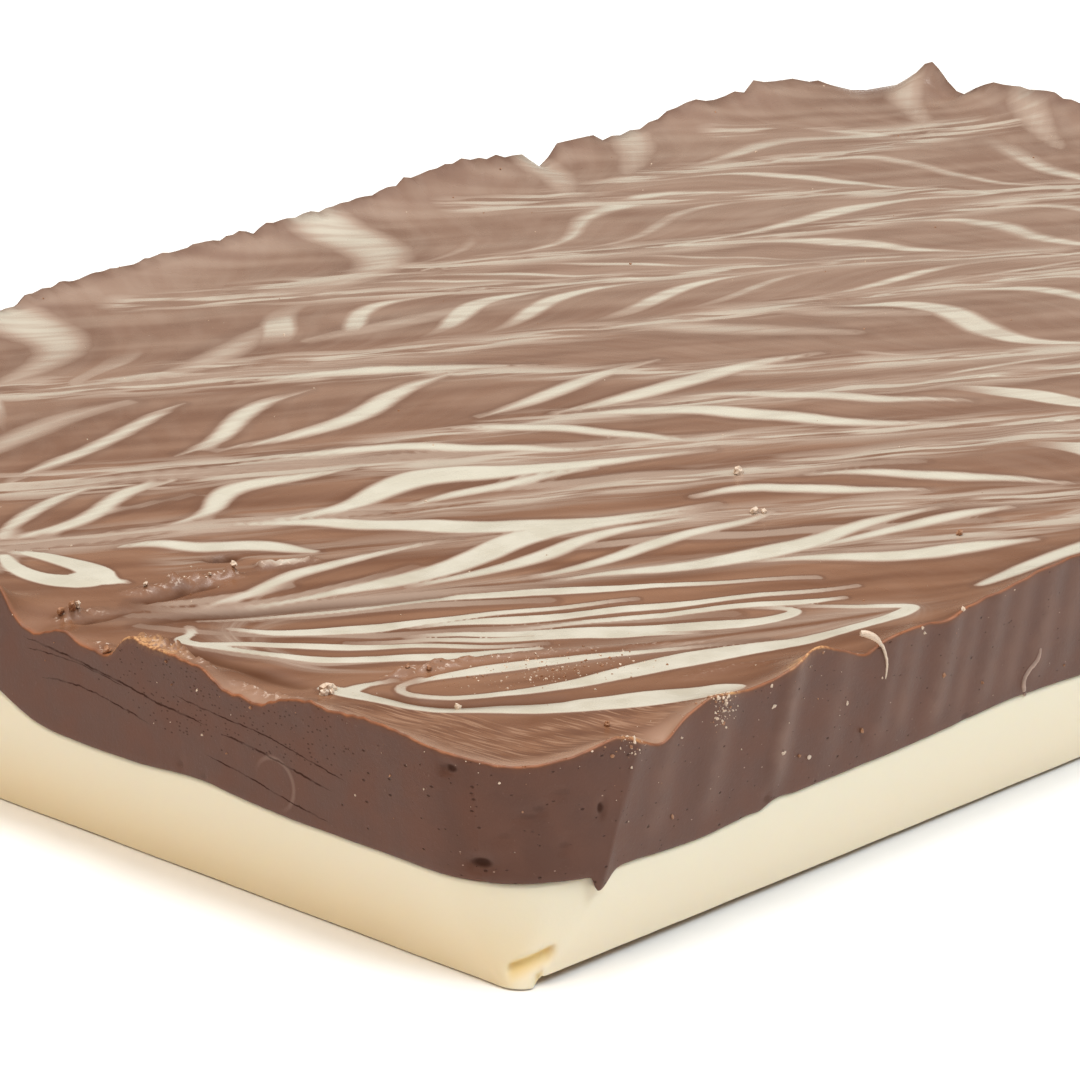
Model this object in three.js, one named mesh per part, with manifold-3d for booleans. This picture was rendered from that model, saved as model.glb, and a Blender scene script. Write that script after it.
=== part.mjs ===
// A slab of layered fudge, turned out of a lined tray: a cream layer below and a thicker chocolate layer,
// poured on it, whose open top has set with a raised and craggy rim.
// Millimetres, +Z up. The origin is the middle of the base, +X runs along the slab and +Y across it.
import * as THREE from "three";
import { mergeVertices } from "three/addons/utils/BufferGeometryUtils.js";
import Module from "manifold-3d";

// Driving dimensions
const LENGTH = 300;
const WIDTH = 200;
const LAYER_LINE = 12.4; // mean height of the joint between the layers
const TOP = 27; // the open top, inside its rim
const RIM = 29.6; // mean height of the rim's crest
const BASE_CORNER = 3; // corner radius at the base, where the cream filled the tray's corner
const TOP_CORNER = 18; // corner radius that the lining gave the slab higher up
const CORNER_RISE = 8.3; // height in which the corner radius makes most of its change
const PROUD = 0.4; // the chocolate stands this far outside the cream
const LAYER_GAP = 0.3;
const BASE_EDGE = 1; // the small round along the bottom edge
const CREST = 0.9; // half thickness of the rim's crest
const STATIONS = 300; // steps round the outline
const WALL_STEPS = 4; // steps up the chocolate's wall
const LEAST_CORNER = 1; // corner radius of the rings well inside the outline

// How the top falls from the rim's crest to its own level: inset from the wall and share of the fall left.
const DISH = [
  { inset: 2.2, share: 0.72 },
  { inset: 5, share: 0.36 },
  { inset: 10, share: 0.1 },
  { inset: 20, share: 0 },
];

// Swells in the layer line and crags on the rim: place on the wall, rise and reach.
const LAYER_SWELLS = [
  { x: -150, y: 2, rise: 4.6, reach: 9 },
  { x: -150, y: -42, rise: 0.9, reach: 9 },
  { x: -117, y: -100, rise: -1.1, reach: 12 },
  { x: -54, y: -100, rise: 0.8, reach: 14 },
  { x: 40, y: -100, rise: -0.9, reach: 18 },
  { x: 96, y: -100, rise: 1.2, reach: 13 },
  { x: 150, y: -30, rise: 1.6, reach: 14 },
  { x: 150, y: 52, rise: -0.9, reach: 12 },
  { x: 70, y: 100, rise: 1.3, reach: 16 },
  { x: -20, y: 100, rise: -0.8, reach: 15 },
  { x: -96, y: 100, rise: 1.5, reach: 12 },
];
const RIM_CRAGS = [
  // Short wall at -X
  { x: -150, y: -3, rise: 2.4, reach: 2.5 },
  { x: -150, y: -10, rise: -3.2, reach: 5 },
  { x: -150, y: -23, rise: -3, reach: 5.5 },
  { x: -150, y: -51, rise: -2.5, reach: 5.5 },
  { x: -150, y: -75, rise: 0.7, reach: 6 },
  { x: -150, y: 22, rise: -2.1, reach: 6 },
  { x: -150, y: 47, rise: 1.5, reach: 5 },
  { x: -150, y: 70, rise: -1.8, reach: 7 },
  // Near corner and the long wall at -Y
  { x: -145, y: -95, rise: -1.4, reach: 8 },
  { x: -134, y: -100, rise: 0.8, reach: 5 },
  { x: -124.5, y: -100, rise: -2.5, reach: 3.8 },
  { x: -113.5, y: -100, rise: 1.1, reach: 4 },
  { x: -94.5, y: -100, rise: 2.3, reach: 5 },
  { x: -84, y: -100, rise: -1.3, reach: 3.2 },
  { x: -68, y: -100, rise: -0.8, reach: 3 },
  { x: -46, y: -100, rise: 0.7, reach: 12 },
  { x: -10, y: -100, rise: -1.7, reach: 5 },
  { x: 22, y: -100, rise: 1.6, reach: 6 },
  { x: 58, y: -100, rise: -2.2, reach: 4.5 },
  { x: 92, y: -100, rise: 1.4, reach: 7 },
  { x: 118, y: -100, rise: -1.5, reach: 5 },
  // Short wall at +X and the far corner
  { x: 150, y: -62, rise: 1.8, reach: 5 },
  { x: 150, y: -34, rise: -2.2, reach: 6 },
  { x: 150, y: 8, rise: 1.2, reach: 9 },
  { x: 150, y: 60, rise: 1.4, reach: 11 },
  { x: 150, y: 77, rise: -2.8, reach: 3 },
  { x: 150, y: 85, rise: 3.2, reach: 3.2 },
  { x: 144, y: 95, rise: -4.2, reach: 9 },
  // Long wall at +Y
  { x: 122, y: 100, rise: 1.2, reach: 4 },
  { x: 104, y: 100, rise: 0.9, reach: 4 },
  { x: 86, y: 100, rise: -1.6, reach: 8 },
  { x: 65, y: 100, rise: -3.2, reach: 3.4 },
  { x: 42, y: 100, rise: 1.8, reach: 14 },
  { x: -57, y: 100, rise: -1.7, reach: 6 },
  { x: -98, y: 100, rise: 1.6, reach: 7 },
];

// The lining's pleats, pressed into the chocolate of the long walls, and the fold beside the near corner.
const PLEAT_HEIGHT = 0.5;
const PLEAT_SPACING = 8;
const PLEAT_WANDER = 3.1; // how far the pleats are pushed out of their even spacing
const PLEAT_WANDER_LENGTH = 41;
const PLEAT_LEAN = 0.22; // sideways shift for each millimetre of height
const FOLD = { x: -131.5, lean: 0.42, height: 1.2, cornerReach: 6, wallReach: 2.6 };
const DRIP = { length: 1.9, reach: 2.4 };

// The nick broken out of the cream at the near base corner
const NICK = { length: 9, depth: 2.8, height: 1.5, x: -146.6, y: -98.7, z: 3.3, slope: 0.2 };

const MERGE = 1e-4; // vertices closer than this are one

const wasm = await Module();
wasm.setup();

// Sum of bell-shaped rises at a place on the outline.
function bells(list, x, y) {
  return list.reduce((sum, bell) => {
    const away = ((x - bell.x) ** 2 + (y - bell.y) ** 2) / bell.reach ** 2;
    return sum + bell.rise * Math.exp(-away);
  }, 0);
}

const layerLine = (x, y) => LAYER_LINE + bells(LAYER_SWELLS, x, y);
const rimHeight = (x, y) => RIM + bells(RIM_CRAGS, x, y);
const cornerRadius = (z) => TOP_CORNER - (TOP_CORNER - BASE_CORNER) * Math.exp(-z / CORNER_RISE);

// A rounded rectangle, counter-clockwise from the middle of the -Y wall. Its corners span the same stations
// whatever their radius, so that the outlines of two heights can be joined station to station.
function outlinePoint(station, inset, radius) {
  const halfLength = LENGTH / 2 - inset;
  const halfWidth = WIDTH / 2 - inset;
  const round = Math.max(radius - inset, LEAST_CORNER);
  const straightX = LENGTH - 2 * TOP_CORNER;
  const straightY = WIDTH - 2 * TOP_CORNER;
  const bend = (Math.PI / 2) * TOP_CORNER;
  const lap = 2 * (straightX + straightY + 2 * bend);
  const along = (station / STATIONS) * lap + straightX / 2;
  const half = (along % lap) % (lap / 2);
  const side = along % lap < lap / 2 ? 1 : -1;
  const legs = [straightX, bend, straightY, bend];
  let leg = 0;
  let run = half;
  while (run > legs[leg]) {
    run -= legs[leg];
    leg += 1;
  }
  const share = run / legs[leg];
  const zone = Math.max(TOP_CORNER - inset, round);
  const spanX = halfLength - zone;
  const spanY = halfWidth - zone;
  const corner = cornerPath(leg === 1 ? share : 1 - share, zone, round);
  if (leg === 0) return turned(side, (2 * share - 1) * spanX, -halfWidth, 0, -1);
  if (leg === 2) return turned(side, halfLength, (2 * share - 1) * spanY, 1, 0);
  if (leg === 1) return turned(side, spanX + corner.x, -spanY - corner.y, corner.nx, -corner.ny);
  return turned(side, spanX + corner.x, spanY + corner.y, corner.nx, corner.ny);
}

// One corner, from the end of the long wall (share 0) to the end of the short one (share 1): a straight
// stretch, an arc and a straight stretch inside a square zone.
function cornerPath(share, zone, round) {
  const straight = zone - round;
  const arc = (Math.PI / 2) * round;
  const run = share * (2 * straight + arc);
  if (run < straight) return { x: run, y: zone, nx: 0, ny: 1 };
  if (run > straight + arc) return { x: zone, y: 2 * straight + arc - run, nx: 1, ny: 0 };
  const angle = (run - straight) / round;
  const nx = Math.sin(angle);
  const ny = Math.cos(angle);
  return { x: straight + round * nx, y: straight + round * ny, nx, ny };
}

const turned = (side, x, y, nx, ny) => ({ x: side * x, y: side * y, nx: side * nx, ny: side * ny });

// How far the lining's pleats and fold push the chocolate's wall out at a height above the layer line.
function pleat(point, z) {
  const at = point.x - PLEAT_LEAN * (z - LAYER_LINE) * Math.sign(-point.y);
  const wander = PLEAT_WANDER * Math.sin((2 * Math.PI * at) / PLEAT_WANDER_LENGTH);
  const wave = Math.sin((2 * Math.PI * (at + wander)) / PLEAT_SPACING);
  return PLEAT_HEIGHT * wave * point.ny ** 2;
}

// The fold is a leaning arris on the -Y wall: it falls slowly towards the corner and fast along the wall.
const onFoldWall = (point) => point.ny < -0.5;
const foldAt = (z) => FOLD.x + FOLD.lean * (z - (LAYER_LINE + RIM) / 2);

function fold(point, z) {
  const along = point.x - foldAt(z);
  const reach = along < 0 ? FOLD.cornerReach : FOLD.wallReach;
  return onFoldWall(point) ? FOLD.height * Math.exp(-Math.abs(along) / reach) : 0;
}

// The drip at the fold's foot, which hangs outside the cream.
function drip(point) {
  const along = (point.x - foldAt(LAYER_LINE)) / DRIP.reach;
  return onFoldWall(point) ? DRIP.length * Math.exp(-(along ** 2)) : 0;
}

const mix = (a, b, share) => a + (b - a) * share;

// Each profile row takes a station and gives a point of the layer's skin, from the bottom to the top.
function row(inset, heightAt, pushAt = () => 0) {
  return (station) => {
    const wall = outlinePoint(station, 0, cornerRadius(LAYER_LINE));
    const z = heightAt(wall);
    const inward = inset - pushAt(wall, z);
    const point = outlinePoint(station, inward, cornerRadius(z));
    return new THREE.Vector3(point.x, point.y, z);
  };
}

const jointHeight = (lift) => (wall) => layerLine(wall.x, wall.y) + lift;

const creamRows = [
  row(BASE_EDGE, () => 0),
  row(0.3 * BASE_EDGE, () => 0.3 * BASE_EDGE),
  row(0, () => BASE_EDGE),
  row(0, (wall) => layerLine(wall.x, wall.y) / 2),
  row(0, jointHeight(0)),
];

const wallHeight = (share) => (wall) =>
  mix(layerLine(wall.x, wall.y) + LAYER_GAP, rimHeight(wall.x, wall.y) - CREST, share);
const wallPush = (wall, z) => PROUD + pleat(wall, z) + fold(wall, z);
const dish = (share) => (wall) => mix(TOP, rimHeight(wall.x, wall.y), share);
const dripEdge = (wall) => layerLine(wall.x, wall.y) + LAYER_GAP - drip(wall);

const wallRows = Array.from({ length: WALL_STEPS }, (_, step) =>
  row(0, wallHeight((step + 1) / WALL_STEPS), wallPush),
);

const chocolateRows = [
  row(-LAYER_GAP, jointHeight(LAYER_GAP)),
  row(0, dripEdge, wallPush),
  ...wallRows,
  row(CREST, dish(1), wallPush),
  ...DISH.map(({ inset, share }) => row(inset, dish(share))),
];

// A closed layer: the skin of a capped cylinder bent to the rows. A vertex's angle gives its station and its
// height gives its row. The caps' centres have heights of their own.
function layerGeometry(rows, bottomCentre, topCentre) {
  const steps = rows.length - 1;
  const skin = new THREE.CylinderGeometry(1, 1, steps, STATIONS, steps);
  skin.rotateX(Math.PI / 2);
  const position = skin.getAttribute("position");
  const vertex = new THREE.Vector3();
  for (let i = 0; i < position.count; i++) {
    vertex.fromBufferAttribute(position, i);
    const rowIndex = Math.round(vertex.z + steps / 2);
    const turn = Math.atan2(vertex.x, -vertex.y) / (2 * Math.PI);
    const station = (Math.round(turn * STATIONS) + STATIONS) % STATIONS;
    const centre = Math.hypot(vertex.x, vertex.y) < 0.5;
    vertex.copy(rows[rowIndex](station));
    if (centre) vertex.set(0, 0, rowIndex === 0 ? bottomCentre : topCentre);
    position.setXYZ(i, vertex.x, vertex.y, vertex.z);
  }
  skin.deleteAttribute("normal");
  skin.deleteAttribute("uv");
  return mergeVertices(skin, MERGE);
}

function solidOf(geometry) {
  const vertProperties = geometry.getAttribute("position").array;
  const triVerts = new Uint32Array(geometry.index.array);
  return new wasm.Manifold(new wasm.Mesh({ numProp: 3, vertProperties, triVerts }));
}

function geometryOf(solid) {
  const mesh = solid.getMesh();
  const geometry = new THREE.BufferGeometry();
  geometry.setAttribute("position", new THREE.BufferAttribute(mesh.vertProperties, 3));
  geometry.setIndex(new THREE.BufferAttribute(mesh.triVerts, 1));
  geometry.computeVertexNormals();
  return geometry;
}

// The nick is a small slanting bar, laid across the corner and cut out of the cream.
function nickGeometry() {
  const bar = new THREE.BoxGeometry(NICK.length, NICK.depth, NICK.height);
  bar.rotateY(-NICK.slope);
  bar.rotateZ(-Math.PI / 4);
  bar.translate(NICK.x, NICK.y, NICK.z);
  bar.deleteAttribute("normal");
  bar.deleteAttribute("uv");
  return mergeVertices(bar, MERGE);
}

const creamFudge = new THREE.MeshStandardMaterial({ color: 0xefe2bd, roughness: 0.5, metalness: 0 });
const chocolateFudge = new THREE.MeshStandardMaterial({ color: 0x6e4d3d, roughness: 0.42, metalness: 0 });

function layer(name, geometry, material) {
  const mesh = new THREE.Mesh(geometry, material);
  mesh.name = name;
  return mesh;
}

const creamBlank = solidOf(layerGeometry(creamRows, 0, LAYER_LINE));
const cream = creamBlank.subtract(solidOf(nickGeometry()));
const chocolate = solidOf(layerGeometry(chocolateRows, LAYER_LINE + LAYER_GAP, TOP));

const slab = new THREE.Group();
slab.name = "fudge_slab";
slab.add(layer("cream_layer", geometryOf(cream), creamFudge));
slab.add(layer("chocolate_layer", geometryOf(chocolate), chocolateFudge));

export default slab;
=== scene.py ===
# %% [markdown]
# A slab of two-layer fudge: cream below, marbled chocolate above
#
# The slab was cast in a lined tray. Cream fudge went in first, chocolate was poured on it, and lines of
# cream were drawn over the wet top and stirred through with a skewer. This lesson rebuilds it step by step.
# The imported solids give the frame: every size here is in millimetres in that frame, and MM turns it into
# metres.

# %% Load the frame
import math

import bpy
import numpy as np
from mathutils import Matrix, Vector


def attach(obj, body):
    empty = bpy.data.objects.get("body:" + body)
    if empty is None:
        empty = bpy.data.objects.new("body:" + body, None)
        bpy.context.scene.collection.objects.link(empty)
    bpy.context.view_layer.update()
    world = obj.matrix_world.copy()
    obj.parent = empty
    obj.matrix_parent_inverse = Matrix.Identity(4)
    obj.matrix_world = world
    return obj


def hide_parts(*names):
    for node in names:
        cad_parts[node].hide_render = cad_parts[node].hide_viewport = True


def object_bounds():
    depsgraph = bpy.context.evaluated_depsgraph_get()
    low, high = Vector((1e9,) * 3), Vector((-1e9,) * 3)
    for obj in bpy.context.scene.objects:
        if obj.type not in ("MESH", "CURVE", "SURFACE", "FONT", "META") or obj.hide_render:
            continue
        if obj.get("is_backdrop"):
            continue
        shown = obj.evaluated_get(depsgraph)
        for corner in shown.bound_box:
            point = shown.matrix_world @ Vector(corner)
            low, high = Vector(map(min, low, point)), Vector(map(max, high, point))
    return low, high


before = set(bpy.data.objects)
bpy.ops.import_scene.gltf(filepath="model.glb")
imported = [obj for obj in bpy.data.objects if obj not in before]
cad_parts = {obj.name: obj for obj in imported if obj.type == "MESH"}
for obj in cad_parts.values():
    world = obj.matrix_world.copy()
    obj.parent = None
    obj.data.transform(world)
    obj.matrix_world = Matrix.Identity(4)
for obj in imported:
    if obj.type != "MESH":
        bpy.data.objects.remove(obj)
cad_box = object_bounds()
MM = 0.001

length, width, height = (cad_box[1] - cad_box[0]) / MM
print(f"frame: {sorted(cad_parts)}, {length:.1f} x {width:.1f} x {height:.1f} mm")

# %% [markdown]
# The camera
#
# The slab is seen from just above its near corner through a long lens, so its edges hardly converge. The
# camera is set by where it stands and the direction it looks in. A long lens far away would also flatten
# the slab, but only the true distance gives the true convergence, so both were worked out from the slab's
# edges.

# %% Stand the camera in front of the near corner
CAMERA_PLACE = Vector((-654.60, -579.43, 300.80)) * MM
CAMERA_HEADING = math.radians(43.34)
CAMERA_DIP = math.radians(19.04)
LENS = 200.6
SENSOR = 36.0

camera = bpy.data.objects.new("camera", bpy.data.cameras.new("camera"))
camera.data.lens = LENS
camera.data.sensor_width = SENSOR
camera.location = CAMERA_PLACE
look = Vector((
    math.cos(CAMERA_DIP) * math.cos(CAMERA_HEADING),
    math.cos(CAMERA_DIP) * math.sin(CAMERA_HEADING),
    -math.sin(CAMERA_DIP),
))
camera.rotation_mode = "QUATERNION"
camera.rotation_quaternion = look.to_track_quat("-Z", "Y")
bpy.context.scene.collection.objects.link(camera)
bpy.context.scene.camera = camera
print(f"camera looks along {tuple(round(c, 3) for c in look)}")

# %% [markdown]
# Node helpers
#
# Materials and Geometry Nodes are both trees of small steps. A few helpers keep them readable. One adds a
# node and feeds its inputs, where a feed is a plain value or another node's output, and one writes
# arithmetic. The others name the steps that come back often, such as easing, blending and noise.

# %% Helpers for node trees
def add_node(tree, kind, feeds=None, **settings):
    node = tree.nodes.new(kind)
    for name, value in settings.items():
        setattr(node, name, value)
    for socket, feed in (feeds or {}).items():
        if isinstance(feed, bpy.types.NodeSocket):
            tree.links.new(feed, node.inputs[socket])
        else:
            node.inputs[socket].default_value = feed
    return node


def reckon(tree, operation, *feeds):
    """One Math node."""
    return add_node(tree, "ShaderNodeMath", dict(enumerate(feeds)), operation=operation).outputs[0]


def product(tree, first, second):
    return reckon(tree, "MULTIPLY", first, second)


def larger(tree, first, second):
    return reckon(tree, "MAXIMUM", first, second)


def ease(tree, value, start, end, low=0.0, high=1.0):
    """Smoothly from low, where value is start, to high, where it is end."""
    feeds = {"Value": value, "From Min": start, "From Max": end, "To Min": low, "To Max": high}
    node = add_node(tree, "ShaderNodeMapRange", feeds, interpolation_type="SMOOTHSTEP")
    return node.outputs["Result"]


def ease_line(tree, value, start, end):
    """Straight from 0 at start to 1 at end."""
    feeds = {"Value": value, "From Min": start, "From Max": end}
    return add_node(tree, "ShaderNodeMapRange", feeds).outputs["Result"]


def parts(tree, vector):
    """The three numbers of a vector."""
    return add_node(tree, "ShaderNodeSeparateXYZ", {0: vector}).outputs


def flat_place(tree, x, y):
    return add_node(tree, "ShaderNodeCombineXYZ", {0: x, 1: y}).outputs[0]


def scaled(tree, vector, scale):
    return add_node(tree, "ShaderNodeVectorMath", {0: vector, "Scale": scale}, operation="SCALE").outputs[0]


def noise(tree, place, size, detail=3.0, rough=0.5):
    """Noise from 0 to 1 whose lumps are about as wide as size."""
    feeds = {"Vector": place, "Scale": 1 / size, "Detail": detail, "Roughness": rough}
    return add_node(tree, "ShaderNodeTexNoise", feeds).outputs[0]


print("helpers for trees ready")

# %% Helpers for finishes
def srgb(red, green, blue):
    """A colour as it is seen on a screen, 0 to 255, as the linear values that nodes take."""
    shares = [c / 255 for c in (red, green, blue)]
    linear = [c / 12.92 if c <= 0.04045 else ((c + 0.055) / 1.055) ** 2.4 for c in shares]
    return (*linear, 1.0)


def blend(tree, share, first, second):
    """A colour between two others."""
    return add_node(tree, "ShaderNodeMix", {0: share, 6: first, 7: second}, data_type="RGBA").outputs[2]


def carried(tree, name):
    """A value that the piece carries at its points."""
    return add_node(tree, "ShaderNodeAttribute", attribute_name=name).outputs["Fac"]


def start_finish(name):
    """A new material with its tree, its shader and the place on the piece in millimetres."""
    material = bpy.data.materials.new(name)
    material.use_nodes = True
    tree = material.node_tree
    place = add_node(tree, "ShaderNodeTexCoord").outputs["Object"]
    return material, tree, tree.nodes["Principled BSDF"], scaled(tree, place, 1 / MM)


def add_bump(tree, shader, relief, strength, depth):
    bump = add_node(tree, "ShaderNodeBump", {"Height": relief, "Strength": strength, "Distance": depth * MM})
    tree.links.new(bump.outputs[0], shader.inputs["Normal"])


print("helpers for finishes ready")

# %% [markdown]
# Stage and light
#
# The slab lies on a plain white table. The main light hangs above it, so the table throws light up at the
# walls and only a narrow shadow lies along the base. A cool window on the right and a warm wall on the left
# tint the two walls. The room is bright overhead and dark near the horizon, so that the flat top keeps its
# colour instead of mirroring haze.

# %% White table
FLOOR_SIZE = 12.0
FLOOR_BELOW = 0.02 * MM
TABLE_CLOUD = 1000 / 3
TABLE_ROUGHNESS = 0.8

floor_mesh = bpy.data.meshes.new("floor")
side = FLOOR_SIZE / 2
corners = [(-side, -side), (side, -side), (side, side), (-side, side)]
floor_mesh.from_pydata([(x, y, -FLOOR_BELOW) for x, y in corners], [], [(0, 1, 2, 3)])
floor = bpy.data.objects.new("floor", floor_mesh)
bpy.context.scene.collection.objects.link(floor)
floor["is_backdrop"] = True

table_top, tree, shader, place = start_finish("table_top")
cloud = noise(tree, place, TABLE_CLOUD, detail=2.0)
table_colour = blend(tree, cloud, srgb(250, 248, 245), srgb(252, 251, 250))
tree.links.new(table_colour, shader.inputs["Base Color"])
shader.inputs["Roughness"].default_value = TABLE_ROUGHNESS
floor_mesh.materials.append(table_top)
print(f"a table {FLOOR_SIZE:.0f} m wide")

# %% Soft light in a dim room
# Name, place and size in metres, watts and colour of each lamp
LAMPS = [
    ("window", (0.4, -1.1, 1.5), 1.0, 13.8, (0.8, 0.92, 1.0)),
    ("warm wall", (-1.1, 0.25, 1.5), 1.0, 8.8, (1.0, 0.76, 0.48)),
    ("main light", (0.2, 0.18, 1.7), 0.5, 13.5, (1.0, 0.99, 0.97)),
]
HORIZON_LIGHT = 0.15
HORIZON_RISE = 0.35
SKY_LIGHT = 0.82
SKY_RISE = 0.7
ROOM_COLOUR = (1.0, 0.99, 0.975, 1.0)


def hang_lamp(name, place, size, watts, colour):
    """A round soft lamp that shines at the middle of the slab."""
    light = bpy.data.lights.new(name, "AREA")
    light.shape = "DISK"
    light.size = size
    light.energy = watts
    light.color = colour
    lamp = bpy.data.objects.new(name, light)
    lamp.location = place
    lamp.rotation_mode = "QUATERNION"
    lamp.rotation_quaternion = (-Vector(place)).to_track_quat("-Z", "Y")
    bpy.context.scene.collection.objects.link(lamp)


for lamp in LAMPS:
    hang_lamp(*lamp)

world = bpy.data.worlds.new("dim room")
world.use_nodes = True
room = world.node_tree
background = room.nodes["Background"]
up = parts(room, add_node(room, "ShaderNodeTexCoord").outputs["Generated"])[2]
sky = ease(room, up, HORIZON_RISE, SKY_RISE, HORIZON_LIGHT, SKY_LIGHT)
room.links.new(sky, background.inputs["Strength"])
background.inputs["Color"].default_value = ROOM_COLOUR
bpy.context.scene.world = world
bpy.context.scene.view_settings.view_transform = "Standard"
print(f"{len(LAMPS)} lamps in a dim room")

# %% [markdown]
# The slab's rule
#
# Both layers follow one rule. The outline is a rounded rectangle whose corners get rounder with height, the
# joint between the layers rolls gently, and the rim has crags: each swell or crag is a bell-shaped rise at
# a place on the wall. The solids of the frame follow the same rule with fewer points.

# %% Sizes of the slab
HALF_LENGTH = 150.0
HALF_WIDTH = 100.0
LAYER_LINE = 12.4
LAYER_GAP = 0.3
TOP = 27.0
RIM = 29.6
BASE_CORNER = 3.0
TOP_CORNER = 18.0
CORNER_RISE = 8.3
# Place on the wall, rise and reach of each bell
LAYER_SWELLS = [
    (-150, 2, 4.6, 9), (-150, -42, 0.9, 9), (-117, -100, -1.1, 12), (-105, -100, -0.3, 1.5),
    (-101.5, -100, 0.4, 2.2), (-54, -100, 0.8, 14), (40, -100, -0.9, 18), (96, -100, 1.2, 13),
    (150, -30, 1.6, 14), (150, 52, -0.9, 12), (70, 100, 1.3, 16), (-20, 100, -0.8, 15), (-96, 100, 1.5, 12),
]
RIM_CRAGS = [
    # Short wall at -X
    (-150, -3, 2.4, 2.5), (-150, -10, -3.2, 5), (-150, -21, -2.6, 4.6), (-150, -25, -1.7, 2.0),
    (-150, -29.5, 0.9, 2.6), (-150, -36, 0.5, 5), (-150, -47, -1.0, 2.6), (-150, -52, -2.3, 5),
    (-150, -63, 0.4, 3), (-150, -75, 0.7, 6), (-150, 22, -2.1, 6), (-150, 47, 1.5, 5), (-150, 70, -1.8, 7),
    # Near corner and the long wall at -Y
    (-145, -95, -1.4, 8), (-134, -100, 0.8, 5), (-124.5, -100, -2.5, 3.8), (-113.5, -100, 1.1, 4),
    (-94.5, -100, 2.3, 5), (-84, -100, -1.3, 3.2), (-68, -100, -0.8, 3), (-42, -100, 1.5, 14),
    (-10, -100, -1.7, 5), (22, -100, 1.6, 6), (58, -100, -2.2, 4.5), (92, -100, 1.4, 7),
    (118, -100, -1.5, 5),
    # Short wall at +X and the far corner
    (150, -62, 1.8, 5), (150, -34, -2.2, 6), (150, 8, 1.2, 9), (150, 60, 1.4, 11), (150, 77, -2.8, 3),
    (150, 85, 3.2, 3.2), (144, 95, -4.2, 9),
    # Long wall at +Y
    (122, 100, 1.2, 4), (104, 100, 0.9, 4), (86, 100, -1.6, 8), (65, 100, -3.2, 3.4), (42, 100, 1.8, 14),
    (-57, 100, -1.7, 6), (-98, 100, 1.6, 7),
]


def bells(places, x, y):
    total = np.zeros_like(x)
    for bell_x, bell_y, rise, reach in places:
        total += rise * np.exp(-((x - bell_x) ** 2 + (y - bell_y) ** 2) / reach ** 2)
    return total


def smooth_step(value, start, end):
    share = np.clip((value - start) / (end - start), 0, 1)
    return share * share * (3 - 2 * share)


def layer_line(x, y):
    return LAYER_LINE + bells(LAYER_SWELLS, x, y)


def crag_height(x, y):
    return RIM + bells(RIM_CRAGS, x, y)


def corner_radius(z):
    return TOP_CORNER - (TOP_CORNER - BASE_CORNER) * np.exp(-z / CORNER_RISE)


print(f"{len(LAYER_SWELLS)} swells in the joint and {len(RIM_CRAGS)} crags on the rim")

# %% [markdown]
# Torn rim
#
# Between its crags the rim is torn finely where the lining was pulled off. Tears have no place of their own
# that matters, so they come from a few plane waves in random directions, with a fixed seed.

# %% Fine tears of the rim
RAGGED_LEAST = 0.05
RAGGED_SHORT_WALL = 0.1
RAGGED_FAR_WALLS = 0.3
SCALLOP_LENGTHS = (9.0, 14.0, 6.5)
TEAR_LENGTHS = (1.7, 2.3, 3.1, 4.3, 5.9)


def waves(x, y, lengths, seed):
    """Rough ground from plane waves of some lengths in random directions, about -1 to 1."""
    draw = np.random.default_rng(seed)
    total = np.zeros_like(x)
    for length in lengths:
        turn = draw.uniform(0, 2 * np.pi)
        start = draw.uniform(0, 2 * np.pi)
        total += np.sin(2 * np.pi * (x * math.cos(turn) + y * math.sin(turn)) / length + start)
    return total / math.sqrt(len(lengths))


def raggedness(x, y):
    """How torn the rim is: most along the far walls, least on the near long wall."""
    short_wall = smooth_step(-x, HALF_LENGTH - 12, HALF_LENGTH - 3) * smooth_step(y, -88, -70)
    far_long_wall = smooth_step(y, HALF_WIDTH - 10, HALF_WIDTH - 2)
    far_short_wall = smooth_step(x, HALF_LENGTH - 10, HALF_LENGTH - 2)
    far_walls = np.maximum(far_long_wall, far_short_wall)
    return RAGGED_LEAST + RAGGED_SHORT_WALL * short_wall + RAGGED_FAR_WALLS * far_walls


def crumble(x, y):
    """Rise of the tears: scallops with finer tears on them."""
    scallops = 0.6 - 1.2 * np.abs(waves(x, y, SCALLOP_LENGTHS, 3))
    return raggedness(x, y) * (scallops + 0.8 * waves(x, y, TEAR_LENGTHS, 8))


def rim_height(x, y):
    return crag_height(x, y) + crumble(x, y)


mid_rim = rim_height(np.array([-HALF_LENGTH]), np.array([0.0]))[0]
print(f"the rim is {mid_rim:.1f} mm high in the middle of the short wall")

# %% [markdown]
# The outline
#
# A grid of squares is bent to the rounded outline: in each corner zone the square grid becomes a quarter
# disc, so the lines of the top run on into the columns of the wall and the whole layer is one mesh. The
# grid is finer towards the near corner, where the camera is close.

# %% Grid lines and the bent outline
GRID_X = 300
GRID_Y = 224
FINE_STEP = 0.5
FINE_SHARE = 0.56
LEAST_CORNER = 1.0


def graded(count, half_span):
    """Places from -half_span to half_span: even fine steps first, then steps that grow evenly."""
    fine = int(count * FINE_SHARE)
    rest = count - fine
    mean_step = (2 * half_span - fine * FINE_STEP) / rest
    growing = np.linspace(FINE_STEP, 2 * mean_step - FINE_STEP, rest)
    places = np.cumsum(np.concatenate([[0], np.full(fine, FINE_STEP), growing]))
    return places / places[-1] * 2 * half_span - half_span


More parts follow.
